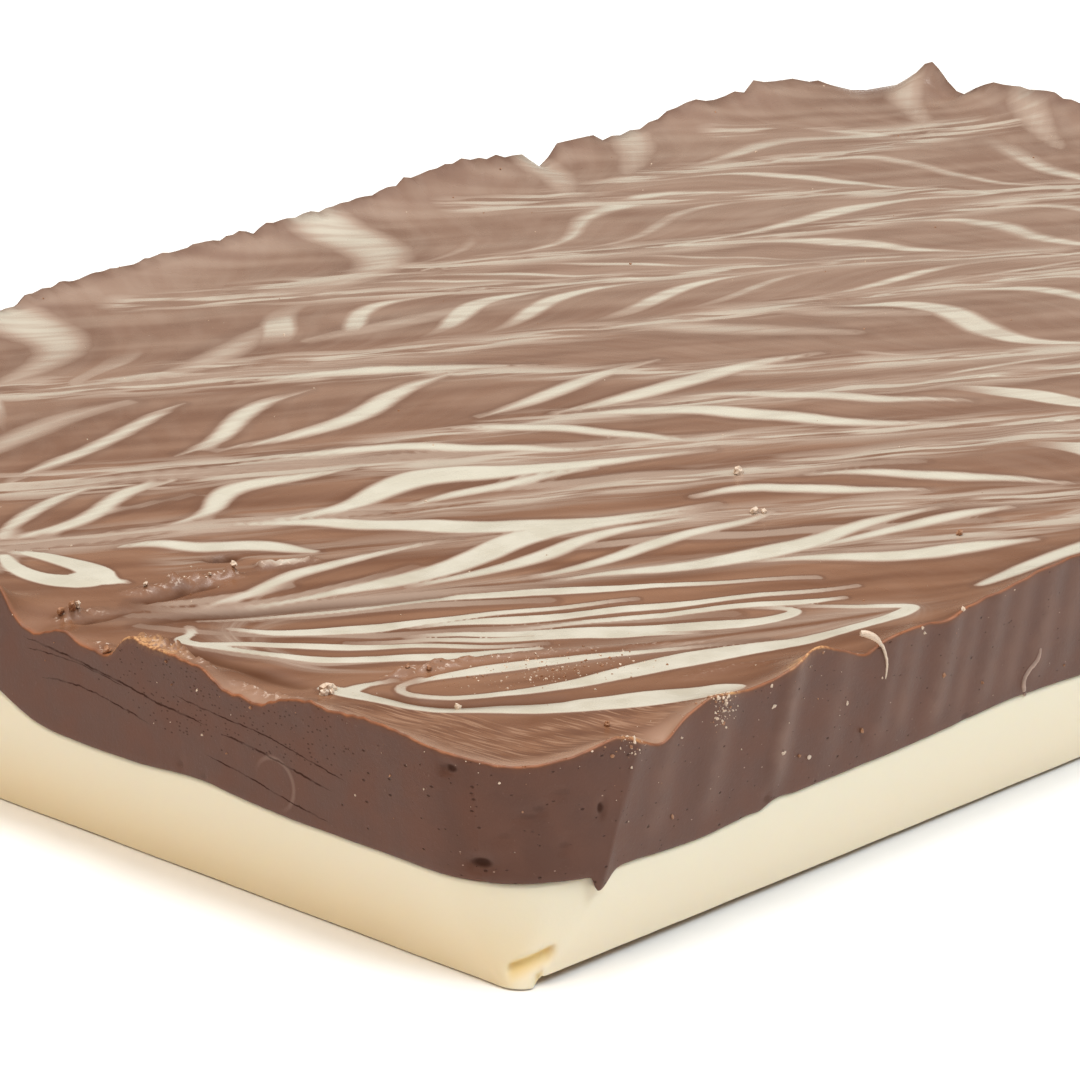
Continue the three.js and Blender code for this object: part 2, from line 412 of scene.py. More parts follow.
def bend(x, y, inset, radius):
    """Grid places of the full rectangle, bent to the rounded outline at an inset: place and outward way."""
    half_x = HALF_LENGTH - inset
    half_y = HALF_WIDTH - inset
    round_corner = np.maximum(radius - inset, LEAST_CORNER)
    x = x * half_x / HALF_LENGTH
    y = y * half_y / HALF_WIDTH
    p = np.maximum(np.abs(x) - (half_x - round_corner), 0) / round_corner
    q = np.maximum(np.abs(y) - (half_y - round_corner), 0) / round_corner
    bent_p = p * np.sqrt(1 - q * q / 2)
    bent_q = q * np.sqrt(1 - p * p / 2)
    bent_x = np.sign(x) * (np.minimum(np.abs(x), half_x - round_corner) + bent_p * round_corner)
    bent_y = np.sign(y) * (np.minimum(np.abs(y), half_y - round_corner) + bent_q * round_corner)
    return bent_x, bent_y, np.sign(x) * bent_p, np.sign(y) * bent_q


grid_x = graded(GRID_X, HALF_LENGTH)
grid_y = graded(GRID_Y, HALF_WIDTH)
short_side = np.full(GRID_Y, HALF_LENGTH)
long_side = np.full(GRID_X, HALF_WIDTH)
lap_x = np.concatenate([grid_x[:-1], short_side, grid_x[:0:-1], -short_side])
lap_y = np.concatenate([-long_side, grid_y[:-1], long_side, grid_y[:0:-1]])
wall_x, wall_y, _, out_y = bend(lap_x, lap_y, 0.0, corner_radius(LAYER_LINE))
STATIONS = len(lap_x)
print(f"{STATIONS} columns round the wall, {GRID_X} x {GRID_Y} squares on the top")

# %% [markdown]
# Pleats, fold, drip and dents
#
# The tray's lining left upright pleats in the chocolate of the long walls, and one sharp fold beside the
# near corner with a drip at its foot. Bubbles left dents. They push the wall out or in by fractions of a
# millimetre, so they belong in the mesh.

# %% Pleats of the lining
PLEAT_LEAN = 0.3
PLEAT_MIDDLE = 20.0
PLEAT_FOOT = 6.0
# Place along the near long wall at mid height, half width and height of each pleat that shows
NEAR_PLEATS = [
    (-124.5, 2.4, 0.3), (-114.5, 2.4, 0.35), (-101, 1.9, 0.65), (-91, 2.4, 0.25), (-80.5, 1.9, 0.3),
    (-76.5, 2.0, 0.35), (-68.8, 2.2, 0.5), (-64.3, 1.8, 0.3), (-59, 2.3, 0.45), (-53.8, 2.2, 0.35),
    (-47.7, 2.5, 0.45), (-42, 2.2, 0.35),
]
PLEAT_SPACINGS = (4.5, 11.0)
PLEAT_WIDTHS = (1.5, 2.6)
PLEAT_HEIGHTS = (0.2, 0.55)


def more_pleats(start, end, seed):
    """Pleats at random distances from start to end."""
    draw = np.random.default_rng(seed)
    pleats = []
    place = start
    while place < end:
        pleats.append((place, draw.uniform(*PLEAT_WIDTHS), draw.uniform(*PLEAT_HEIGHTS)))
        place += draw.uniform(*PLEAT_SPACINGS)
    return pleats


def pleat(x, y, out_y, z):
    rise = np.zeros_like(x)
    for pleats, side in ((pleats_near, y < 0), (pleats_far, y >= 0)):
        for middle, half_width, height in pleats:
            along = x - middle - PLEAT_LEAN * (z - PLEAT_MIDDLE)
            rise += np.where(side, height * np.exp(-(along / half_width) ** 2), 0)
    return rise * smooth_step(z, LAYER_LINE, LAYER_LINE + PLEAT_FOOT) * out_y ** 2


pleats_near = NEAR_PLEATS + more_pleats(-35.0, 132.0, 4)
pleats_far = more_pleats(-132.0, 132.0, 6)
print(f"{len(pleats_near)} pleats on the near long wall, {len(pleats_far)} on the far one")

# %% Fold, drip and dents
PROUD = 0.4
FOLD_X = -131.5
FOLD_LEAN = 0.42
FOLD_HEIGHT = 1.2
FOLD_CORNER_REACH = 6.0
FOLD_WALL_REACH = 2.6
DRIP_LENGTH = 1.9
DRIP_REACH = 1.9
DRIP_CORNER_SHARE = 0.45
DRIP_WALL_SHARE = 1.3
DRIP_LEAN = 0.9
DRIP_BLUNTNESS = 2.6
# Place along the wall, height, half length, half height and depth of each dent
SHORT_WALL_DENTS = [
    (-91.6, 15.2, 1.5, 0.7, 0.9), (-87.5, 27.2, 1.0, 0.55, 0.7), (-38.6, 15.0, 0.6, 0.6, 0.3),
    (-43.0, 14.4, 0.6, 0.5, 0.3), (-96.0, 21.5, 0.9, 0.5, 0.3), (-98.5, 24.5, 0.8, 0.5, 0.25),
    (-94.0, 19.0, 0.8, 0.5, 0.25),
]
LONG_WALL_DENTS = [
    (-136.0, 21.5, 0.6, 0.8, 0.6), (-141.0, 17.5, 0.8, 0.5, 0.3), (-103.8, 13.4, 0.8, 0.6, 0.35),
    (-63.5, 13.8, 1.0, 0.6, 0.4), (-143.5, 22.5, 0.7, 0.5, 0.3), (-85.0, 17.0, 0.7, 0.5, 0.2),
]


def fold_at(z):
    return FOLD_X + FOLD_LEAN * (z - (LAYER_LINE + RIM) / 2)


def fold(x, out_y, z):
    along = x - fold_at(z)
    reach = np.where(along < 0, FOLD_CORNER_REACH, FOLD_WALL_REACH)
    return np.where(out_y < -0.5, FOLD_HEIGHT * np.exp(-np.abs(along) / reach), 0)


def drip(x, out_y):
    along = x - fold_at(LAYER_LINE) + DRIP_LEAN
    share = np.where(along < 0, DRIP_CORNER_SHARE * DRIP_REACH, DRIP_WALL_SHARE * DRIP_REACH)
    away = np.abs(along) / share
    return np.where(out_y < -0.5, DRIP_LENGTH * np.exp(-away ** DRIP_BLUNTNESS), 0)


def dent(x, y, z):
    on_short_wall = smooth_step(-x, HALF_LENGTH - 20, HALF_LENGTH - 5)
    on_long_wall = smooth_step(-y, HALF_WIDTH - 12, HALF_WIDTH - 2)
    depth = np.zeros_like(x)
    for dents, along, on_wall in ((SHORT_WALL_DENTS, y, on_short_wall), (LONG_WALL_DENTS, x, on_long_wall)):
        for at, height, half_length, half_height, deep in dents:
            away = ((along - at) / half_length) ** 2 + ((z - height) / half_height) ** 2
            depth += deep * np.exp(-away) * on_wall
    return depth


def push(x, y, out_y, z):
    """How far the chocolate stands out of the cream's wall."""
    return PROUD + pleat(x, y, out_y, z) + fold(x, out_y, z) - dent(x, y, z)


def wall_push(z):
    return push(wall_x, wall_y, out_y, z)


print(f"the fold stands {wall_push(np.full(STATIONS, 20.0)).max():.2f} mm out of the cream's wall")

# %% [markdown]
# Marbling
#
# Lines of cream were poured across the wet top and a skewer was drawn through them to and fro. The wet
# fudge is carried along by the skewer, most at its path and less with distance. To colour a point of the
# set top, the strokes are undone, last one first, which finds where that bit of fudge lay when it was
# poured. A painted pattern could only look like this, while here the arrow shapes, hairpins and fine
# strands come out by themselves.

# %% The skewer's path
STROKE_HEADING = math.radians(-32.0)
ALONG = np.array([math.cos(STROKE_HEADING), math.sin(STROKE_HEADING)])
ACROSS = np.array([-ALONG[1], ALONG[0]])
SKEWER_REACH = 5.2
SLOW_REACH = 9.0
STROKE_POINTS = 12
STROKE_WAVE = 2.5

FAR_TURNS = [(101, 90), (140, 58), (35, 90), (140, 8), (-40, 90), (140, -40), (-95, 77)]
NEAR_STROKES = [
    [(-95, 77), (-72, 60), (-50, 46), (-38, 37), (-28, 26), (-18, 15), (-6, 4), (20, -18), (70, -48),
     (140, -86)],
    [(140, -86), (60, -52), (10, -24), (-10, -12), (-30, -1), (-48, 6), (-65, 12), (-82, 20), (-98, 30),
     (-118, 42)],
    [(-118, 38), (-100, 25), (-84, 14), (-64, 0), (-50, -9), (-38, -17), (-15, -31), (25, -60), (62, -90)],
    [(62, -90), (15, -60), (-19, -43), (-40, -33), (-58, -25), (-74, -17), (-88, -8), (-109, 5),
     (-135, 18)],
    [(-118, -6), (-112, -11), (-100, -17), (-88, -26), (-78, -31), (-62, -40), (-50, -48), (-14, -73),
     (4, -90)],
    [(4, -90), (-30, -80), (-58, -64), (-70, -58), (-85, -49), (-105, -38), (-118, -30), (-130, -22),
     (-140, -16)],
]
CORNER_STROKE = [
    (-140, -16), (-143, -26), (-142, -45), (-139, -57), (-128, -61), (-115, -67), (-100, -74), (-85, -82),
    (-72, -88), (-64, -91),
]


def far_stroke(start, end, number):
    """A slightly wavy pass between two turning points."""
    run = np.linspace(0, 1, STROKE_POINTS)[:, None]
    wave = STROKE_WAVE * np.sin(9 * run + 2.3 * number) * np.sin(np.pi * run)
    return np.array(start) * (1 - run) + np.array(end) * run + wave * ACROSS


far_passes = zip(FAR_TURNS, FAR_TURNS[1:])
strokes = [(far_stroke(a, b, n), SKEWER_REACH) for n, (a, b) in enumerate(far_passes)]
strokes += [(stroke, SKEWER_REACH) for stroke in NEAR_STROKES]
strokes += [(CORNER_STROKE, SLOW_REACH)]
print(f"{len(strokes)} strokes of the skewer")

# %% Undo the strokes
SKEWER_PULL = 0.88
SKEWER_CORE = 1.8
SKEWER_STEP = 1.5
FELT_REACHES = 6


def round_off(points, times):
    """Cut the corners off a path."""
    points = np.asarray(points, float)
    for _ in range(times):
        cut = [0.75 * points[:-1] + 0.25 * points[1:], 0.25 * points[:-1] + 0.75 * points[1:]]
        inner = np.stack(cut, 1).reshape(-1, points.shape[1])
        points = np.concatenate([points[:1], inner, points[-1:]])
    return points


def even_steps(points, step):
    points = round_off(points, 2)
    run = np.concatenate([[0], np.cumsum(np.hypot(*np.diff(points, axis=0).T))])
    at = np.linspace(0, run[-1], max(int(run[-1] / step), 2) + 1)
    return np.stack([np.interp(at, run, points[:, 0]), np.interp(at, run, points[:, 1])], 1)


def unstir(points):
    """Where each point of the set top lay when it was poured."""
    back = points.copy()
    for stroke, reach in reversed(strokes):
        path = even_steps(stroke, SKEWER_STEP)
        for start, end in zip(path[-2::-1], path[:0:-1]):
            away = back - (start + end) / 2
            near = np.flatnonzero((np.abs(away) < FELT_REACHES * reach).all(1))
            distance = np.sqrt((away[near] ** 2).sum(1) + SKEWER_CORE ** 2) - SKEWER_CORE
            back[near] -= SKEWER_PULL * np.exp(-distance / reach)[:, None] * (end - start)
    return back


print("a point on the near spine lay at", unstir(np.array([[-72.0, -18.0]])).round(1)[0])

# %% [markdown]
# Poured lines
#
# The cream was poured in lines square to the strokes. Each line has a place along the strokes and a width.
# The lines that show best from the near corner are listed one by one, and the rest follow at like distances
# from a fixed seed.

# %% Lines of cream
NEAR_LINES = [
    (-112, 3.6), (-101, 4.2), (-85.5, 4.4), (-61.5, 6.5), (-48.5, 4.8), (-31, 5.2), (-19, 4.4), (0, 5.5),
    (14.5, 5),
]
LINE_WIDTHS = (4.5, 8.0)
FURTHER_APART = (17.0, 31.0)
LAST_LINE = 190.0
BARE_RIM = 12.0
RIM_TAPER = 8
FAT_LINE = -62.0
WANDER = 1.6


def poured_lines():
    draw = np.random.default_rng(5)
    lines = list(NEAR_LINES)
    for way in (1, -1):
        place = max(way * centre for centre, _ in NEAR_LINES)
        while place < LAST_LINE:
            place += draw.uniform(*FURTHER_APART)
            lines.append((way * place, draw.uniform(*LINE_WIDTHS)))
    return sorted(lines)


def pour(points):
    """Place along and across the strokes, and swell of the lines there, for points as they were poured."""
    along = points @ ALONG
    across = points @ ACROSS
    wander = WANDER * np.sin(across / 11 + along / 16)
    swell = 0.5 * np.sin(across / 17 + along / 13) + 0.4 * np.sin(across / 7 - along / 19)
    swell += 2.2 * np.exp(-((along - FAT_LINE) / 9) ** 2 - ((across + 52) / 22) ** 2)
    inset = np.minimum(points[:, 0] + HALF_LENGTH, points[:, 1] + HALF_WIDTH)
    taper = RIM_TAPER * (1 - smooth_step(inset, 0, BARE_RIM))
    return np.stack([along + wander, across, swell - taper], 1)


lines = poured_lines()
print(f"{len(lines)} poured lines, {sum(width for _, width in lines) / (2 * LAST_LINE):.0%} cream")

# %% [markdown]
# Strands given one by one
#
# Stirring by rule gives the right kind of pattern, but no rule gives this slab's own strands. Where the top
# shows well its strands are given one by one: each is a path with a half width at every point, rounded off
# and filled. Strands near the corner have crisp edges, the leaves further in are softer, and those at the far
# rim are broad and soft. Thin tan strands lie where brown and cream were drawn together.

# %% Strands near the corner
CORNER_STRANDS = [
    # From the long rim round the corner to the cusp on the left, and a wisp off the cusp
    [(-106.5, -94.4, 3.2), (-113, -90.3, 3.0), (-121, -84.8, 2.3), (-128, -79.5, 1.8), (-133.5, -74.5, 1.5),
     (-137, -69, 1.4), (-138.8, -63.5, 1.4), (-139.6, -59.5, 1.7), (-139.9, -55.5, 1.2)],
    [(-139.5, -58.6, 1.4), (-136.8, -58.2, 1.0), (-134.4, -58.6, 0.6), (-131.5, -59.6, 0.2)],
    # Thin loop that widens and turns back at its tip
    [(-128.5, -61.6, 0.4), (-132.6, -61.6, 0.5), (-134.6, -63.9, 0.6), (-133.4, -67.3, 0.65),
     (-130, -71.3, 0.8), (-124, -75.2, 1.0), (-117, -77.8, 1.25), (-108, -80, 2.2), (-101, -82.3, 2.7),
     (-92, -86, 2.1), (-82, -89.3, 1.3), (-72, -91.4, 1.2), (-65, -91.9, 1.4), (-63.8, -90.6, 1.0),
     (-65.8, -88, 0.8), (-69.2, -84.8, 0.65), (-71.8, -81.6, 0.5), (-74, -78, 0.2)],
    # Leaf inside the loop
    [(-131, -61.8, 0.2), (-127.5, -62.6, 0.8), (-121, -65.2, 1.6), (-115, -68.4, 1.5), (-108, -72.3, 1.1),
     (-101, -76.6, 0.7), (-95, -80.6, 0.35), (-87, -85, 0.15)],
    # Bundle drawn from the left end of the last stroke
    [(-136, -25.5, 0.3), (-137.5, -28, 0.7), (-142, -29.2, 1.1), (-139.7, -34, 0.9), (-137.8, -37.5, 0.75),
     (-136.4, -41.5, 0.8), (-134.5, -45.5, 0.95), (-129.5, -50.5, 1.1), (-125, -54.6, 1.2),
     (-119.5, -58.8, 1.2), (-114, -62.3, 0.9), (-110, -65.4, 0.5)],
    [(-139.4, -32.9, 0.8), (-135.3, -36.2, 0.8), (-131.7, -42, 1.0), (-128, -45.7, 1.1),
     (-122.8, -50.5, 0.8), (-117.2, -56, 0.7), (-111.7, -61.8, 0.5), (-108, -64.5, 0.2)],
    [(-132.8, -30.1, 0.4), (-131.1, -34.6, 0.9), (-127.8, -38.4, 1.3), (-123.3, -41.8, 1.5),
     (-118.9, -44.3, 1.5), (-114.4, -46.2, 1.2), (-107.8, -49.6, 0.9), (-103, -52, 0.75), (-98, -55, 0.75),
     (-92, -58.5, 0.6), (-87, -61.5, 0.25)],
    [(-126, -45.5, 0.2), (-119, -51.5, 0.5), (-113.5, -56.5, 0.75), (-108, -61.5, 0.9), (-103, -65.5, 1.0),
     (-97.5, -70.3, 1.0), (-93, -74.5, 0.6), (-90, -77, 0.2)],
    [(-115.6, -47.3, 0.3), (-111.7, -49.6, 0.7), (-107.8, -52.3, 1.1), (-103.9, -55.1, 1.4),
     (-96.1, -60.1, 1.2), (-88.3, -64.6, 1.1), (-80, -69.6, 0.9), (-71.1, -74.6, 0.7), (-62, -79.6, 0.3)],
    [(-118.9, -49.6, 0.3), (-114.4, -52.9, 0.7), (-107.8, -58.8, 1.1), (-103.9, -62.3, 1.2),
     (-100, -65.7, 1.4), (-96.1, -68.9, 1.5), (-88.3, -75.3, 1.7), (-84.4, -78, 1.6), (-80, -80.1, 1.2),
     (-76.3, -80.7, 1.1), (-74.9, -79.9, 0.8), (-76, -77.6, 0.5), (-79, -74.5, 0.2)],
    [(-133, -24.5, 0.3), (-125, -31.5, 0.6), (-116, -36.5, 0.7), (-108, -39.8, 0.7), (-102, -44, 0.9),
     (-95, -49, 1.3), (-90, -52.8, 1.4), (-85, -57, 1.2), (-80, -60.6, 0.9), (-72, -66.5, 0.6),
     (-63, -73.5, 0.3)],
    [(-113, -53.5, 0.2), (-104, -59.3, 0.5), (-95, -64.5, 0.8), (-85, -70.3, 0.9), (-77, -75, 0.9),
     (-70.5, -79.5, 1.0), (-67, -81.5, 0.3)],
    # Loop at the left end of the strokes
    [(-133.5, 14.5, 0.8), (-136.3, 9.5, 1.5), (-136.6, 3.5, 2.0), (-135.2, -0.6, 2.6), (-132.4, -2.0, 3.0),
     (-130.2, -1.6, 2.6), (-129.2, 2.5, 2.0), (-129.2, 7, 1.7), (-129.8, 10.5, 1.4), (-131.6, 14, 0.6)],
    [(-132.8, -1.2, 2.8), (-131.3, -3.4, 1.9), (-130.2, -5.0, 1.0), (-129.4, -6.2, 0.2)],
]
print(f"{len(CORNER_STRANDS)} strands near the corner")

# %% Leaves further in
LEAVES = [
    # Beside the left ends of the strokes
    [(-130, -21, 0.3), (-122, -22, 1.0), (-116, -21, 1.2), (-110, -20.5, 1.4), (-104, -21.5, 1.2),
     (-98, -22.5, 0.9), (-92, -24, 0.6), (-86, -26.4, 0.2)],
    [(-119.5, 5.6, 0.6), (-115.5, 3, 1.5), (-113, -1.5, 1.9), (-110, -4.2, 2.1), (-107, -7.2, 2.2),
     (-104.6, -11, 1.8), (-102.6, -15.5, 0.6)],
    [(-112, -15.2, 0.3), (-109.5, -16.3, 0.9), (-106.5, -17.4, 0.4)],
    [(-129.5, 20.5, 0.6), (-122, 24, 1.4), (-115, 26.5, 1.5), (-109, 28, 1.3), (-103, 27, 0.3)],
    [(-128.5, 19.6, 0.7), (-120, 17, 1.5), (-113, 18, 1.6), (-107, 21, 1.5), (-101, 23, 1.6),
     (-94.5, 21.5, 0.5)],
    [(-109, 7.2, 0.4), (-104, 6.5, 1.0), (-100, 7.5, 1.5), (-96, 10.5, 1.9), (-92, 12.3, 2.0),
     (-86, 11, 1.8), (-80, 8.5, 1.4), (-73, 5.8, 0.3)],
    # The two broad leaves of the middle spine
    [(-104, 2.2, 0.3), (-97, -3.6, 1.2), (-92, -9, 1.9), (-87, -16, 2.4), (-82, -23, 2.8), (-77, -28, 2.7),
     (-72, -32, 2.1), (-65, -36, 1.3), (-58, -38.8, 0.8), (-49, -42.5, 0.2)],
    [(-99, -1, 0.4), (-92, -4.3, 1.2), (-85, -5.3, 1.8), (-78, -3.8, 2.5), (-71, -3.2, 3.3), (-66, -5, 3.5),
     (-61, -9.5, 3.0), (-55, -13, 2.3), (-48, -17, 1.7), (-40, -21, 1.0), (-31, -25.5, 0.2)],
    [(-80, -10.6, 0.3), (-72, -12, 1.3), (-67, -14, 1.5), (-62, -15.5, 1.5), (-56, -16, 1.2),
     (-49, -18.5, 0.4)],
    # Between the middle spine and the last one
    [(-130, -22.5, 0.2), (-120, -27.3, 0.7), (-112, -30.5, 1.2), (-104, -32.8, 1.9), (-96, -34, 2.2),
     (-88, -33.6, 2.5), (-81, -32.6, 2.8), (-75, -33.5, 2.4), (-68, -36.3, 1.5), (-60, -39.5, 0.8),
     (-51, -43.5, 0.2)],
    [(-104, -35.4, 0.3), (-96, -38, 1.1), (-88, -39.8, 1.5), (-80, -40, 1.6), (-74, -39.3, 1.4),
     (-67, -40.2, 1.1), (-60, -42.5, 0.8), (-52, -45.4, 0.2)],
    [(-90, -44.8, 0.3), (-82, -46.5, 1.1), (-76, -47.5, 1.5), (-70, -47.5, 1.6), (-64, -48, 1.5),
     (-58, -49, 1.2), (-50, -50.6, 0.8), (-46, -50, 0.3)],
    [(-90, -47.4, 0.2), (-82, -51, 0.9), (-76, -55, 1.5), (-70, -58, 1.9), (-65, -60, 2.3), (-59, -62, 2.5),
     (-52, -63.5, 2.0), (-44, -63, 1.5), (-37, -63.5, 1.2), (-28, -66.5, 0.2)],
    [(-55, -64.6, 0.3), (-46, -67, 1.2), (-40, -68, 1.4), (-34, -69.5, 1.6), (-28, -71, 1.4),
     (-21, -73.5, 0.3)],
    [(-64, -62.6, 0.3), (-56, -69, 1.3), (-51, -74, 1.8), (-46, -78, 2.2), (-41, -80, 2.2), (-36, -82, 1.6),
     (-30, -85, 0.3)],
    [(-51, -92.6, 0.9), (-46, -92.9, 1.9), (-36, -93, 2.1), (-24, -93, 1.8), (-12, -93.4, 0.5)],
    # Right of the middle
    [(-49, -38.2, 0.3), (-40, -41, 1.6), (-37, -45, 1.9), (-34, -49, 1.8), (-30, -54, 1.4),
     (-24, -60, 0.3)],
    [(-30, -42.5, 0.3), (-24, -48, 1.2), (-21, -52, 1.8), (-18, -57, 2.0), (-15, -61, 1.8), (-12, -65, 1.4),
     (-7, -73, 0.3)],
    [(-35, 0.8, 0.4), (-27, -3, 1.5), (-22, -7, 2.0), (-18, -12, 2.4), (-15, -17, 2.6), (-12, -23, 2.5),
     (-9, -29, 2.1), (-5, -35, 1.5), (3, -42, 0.3)],
    [(-43, 10.2, 0.3), (-34, 9.5, 1.5), (-27, 10, 1.9), (-21, 10.5, 1.9), (-14, 10.8, 1.5), (-4, 9.6, 0.3)],
    [(-34, 3.4, 0.4), (-24, 1, 1.6), (-17, 0, 2.2), (-10, -0.5, 2.4), (-2, -1.2, 2.2), (8, -3, 1.2),
     (16, -6, 0.3)],
    [(-16, -5, 0.3), (-10, -9, 1.2), (-4, -16, 1.9), (1, -23, 2.0), (6, -30, 1.5), (13, -38, 0.3)],
    # Beyond the middle spine
    [(-82, 20.5, 0.3), (-73, 15.4, 1.3), (-67, 12.6, 1.6), (-62, 9, 1.8), (-58, 5, 1.8), (-54, 0, 1.7),
     (-50, -5, 1.5), (-46, -10, 1.1), (-39, -15.5, 0.2)],
    [(-50, 9, 0.4), (-44, 4, 1.7), (-40, -1, 1.8), (-37, -6, 1.7), (-35, -11, 1.6), (-33, -16, 1.4),
     (-29, -23, 0.3)],
    [(-113, 38, 0.3), (-104, 39.3, 1.2), (-98, 39.8, 1.5), (-92, 41, 1.5), (-84, 43, 1.5), (-77, 45, 1.4),
     (-69, 46.8, 0.3)],
    [(-86, 29.4, 0.3), (-78, 30.2, 1.5), (-73, 32.5, 1.8), (-68, 35.5, 1.8), (-63, 37.5, 1.7),
     (-58, 38.5, 1.1), (-51, 38, 0.2)],
    [(-81, 27, 0.2), (-72, 24, 1.2), (-66, 23, 1.6), (-59, 22.6, 2.0), (-52, 24, 2.2), (-47, 26, 2.0),
     (-42, 27.3, 1.7), (-36, 28, 1.2), (-27, 27, 0.2)],
    [(-56, 49, 0.4), (-48, 44.5, 1.6), (-42, 40.5, 2.0), (-36, 36.5, 2.2), (-31, 32, 2.0), (-26, 28, 1.4),
     (-19, 21, 0.3)],
]
print(f"{len(LEAVES)} leaves")

# %% Far strands and tan strands
FAR_STRANDS = [
    [(-108, 49, 0.8), (-100, 51.6, 1.8), (-92, 53.4, 2.0), (-84, 54.2, 1.4), (-74, 53, 0.4)],
    [(-64, 58.4, 0.6), (-56, 58.4, 1.7), (-50, 59.2, 2.1), (-44, 61.3, 2.1), (-38.6, 63.3, 1.7),
     (-31, 66, 0.4)],
    [(-60, 106, 6.5), (-58.5, 94, 6.0), (-59, 86, 4.6), (-63, 79.5, 3.2), (-70, 75.8, 2.2),
     (-80, 73.4, 1.2)],
    [(12, 106, 6.0), (10, 95, 6.2), (10, 86, 5.6), (7, 79, 4.4), (0, 74.5, 3.0), (-9, 73.4, 2.2),
     (-18, 77, 1.8), (-27, 81, 0.8)],
    [(64, 106, 5.0), (62, 97, 4.2), (60, 90, 2.8), (54, 83, 1.2)],
    [(88, 106, 5.0), (86, 98, 4.0), (80, 91, 2.4), (70, 84, 1.0)],
    [(157, 94, 3.0), (147, 88, 3.0), (139, 81, 2.4), (132, 71, 1.4), (126, 63, 0.6)],
    [(157, 68, 3.0), (148, 61, 2.8), (140, 51, 2.0), (134, 42, 0.8)],
    [(28, 55.5, 0.6), (36, 51.5, 2.0), (44, 47.6, 2.4), (52, 44.2, 2.0), (62, 40.5, 0.6)],
    [(3, 29, 0.6), (8, 23.5, 2.2), (12, 18, 2.6), (17, 11.4, 2.5), (22, 4.5, 1.8), (28, -3, 0.6)],
    [(-34, 55.6, 0.5), (-24, 53.2, 1.6), (-14, 51.6, 1.9), (-4, 50, 1.3), (8, 46.5, 0.4)],
    [(24, 17, 0.5), (29, 14, 1.8), (33, 8, 2.0), (38, 1, 1.6), (45, -7, 0.5)],
]
TAN_STRANDS = [
    # Spines of the strokes, where brown and cream were drawn together
    [(-139, 20.5, 1.0), (-133, 17.5, 1.3), (-126, 13.5, 1.4), (-119, 10.5, 1.5), (-112, 7, 1.5),
     (-106, 3.8, 1.7), (-100, 0, 1.7), (-92, -5.2, 1.2), (-84, -10, 0.6)],
    [(-139, 9.5, 0.7), (-128, 15.2, 0.8), (-118, 17.8, 0.8), (-108, 17, 0.6), (-98, 14.5, 0.2)],
    [(-66, -15.5, 0.6), (-56, -21, 1.3), (-46, -27.5, 1.6), (-36, -34.5, 1.5), (-26, -42, 1.0),
     (-14, -51, 0.4)],
    [(-78, -40, 0.5), (-68, -45, 1.0), (-58, -52.5, 1.2), (-48, -60, 1.2), (-38, -67.5, 0.9),
     (-28, -75, 0.4)],
    [(-110, 32, 0.6), (-98, 27, 1.2), (-86, 19.5, 1.4), (-74, 11, 1.4), (-62, 3, 1.3), (-50, -5, 1.2),
     (-38, -13, 0.9), (-24, -22.5, 0.4)],
    # Lines fanning out from the left end of the last stroke
    [(-138, -16, 0.5), (-128, -25, 0.6), (-118, -32, 0.7), (-106, -41, 0.7), (-92, -49, 0.4)],
    [(-140, -20, 0.5), (-136, -30, 0.7), (-129.5, -37.5, 0.8), (-122, -45.5, 0.8), (-114, -52, 0.6),
     (-104, -60, 0.3)],
    [(-141, -33, 0.6), (-138.2, -40.5, 0.8), (-134, -47.6, 0.9), (-127, -53, 0.9), (-120, -58.6, 0.7)],
    [(-134, -20.5, 0.5), (-126, -23.6, 0.8), (-117, -26.8, 0.9), (-108, -29.3, 0.7), (-98, -30.5, 0.3)],
    [(-131, -27, 0.4), (-122, -34.5, 0.8), (-112, -39, 0.9), (-103, -46.5, 0.8), (-95, -53, 0.5)],
    [(-120, -47.5, 0.3), (-111, -53.8, 0.6), (-101, -60.6, 0.7), (-91, -68, 0.7), (-82, -75, 0.4)],
    [(-133.8, -12.7, 0.1), (-131.8, -15.7, 0.7), (-127.6, -19.1, 1.0), (-122.1, -21.8, 1.1),
     (-115, -23, 0.6)],
    [(-135, -13.4, 0.1), (-133.4, -17.4, 0.6), (-128.8, -23.1, 0.9), (-116.7, -31.7, 1.0),
     (-103.6, -39.3, 0.9), (-92, -48.4, 0.5)],
]
# Soft edge, greatest share of cream and strands of each kind
STRANDS = [
    (0.22, 1.0, CORNER_STRANDS),
    (0.55, 1.0, LEAVES),
    (2.0, 0.9, FAR_STRANDS),
    (0.8, 0.45, TAN_STRANDS),
]
# The parts of the top where only these strands lie
STRAND_ZONES = [
    [(-160, 4), (-132, 30), (-112, 52), (-92, 62), (-52, 68), (-44, 64), (-30, 56), (-14, 42), (2, 34),
     (30, 20), (34, 4), (20, -12), (16, -36), (4, -60), (-10, -84), (-12, -110), (-160, -110)],
    [(-84, 68), (-20, 70), (30, 76), (100, 84), (124, 80), (130, 60), (128, 34), (160, 34), (160, 110),
     (-84, 110)],
]
print(f"{sum(len(strands) for _, _, strands in STRANDS)} strands in {len(STRAND_ZONES)} parts of the top")

# %% [markdown]
# Inside or outside a strand
#
# A finish needs to know how deep each point lies inside a strand, not just whether it does, so that the
# edge can be as soft as the strand asks. The same holds for the parts of the top that only these strands
# cover.

# %% Depth inside the strands
THINNEST = 0.7
FULL_WIDTH = 0.85
FAR_FROM_STRANDS = -6.0
FAR_OUTSIDE = 50.0


def nearest_on(points, start, end):
    """For each point, the nearest share of the way from start to end, and the way from there to the point."""
    step = end - start
    share = np.clip((points - start) @ step / (step @ step), 0, 1)
    return share, points - start - share[:, None] * step


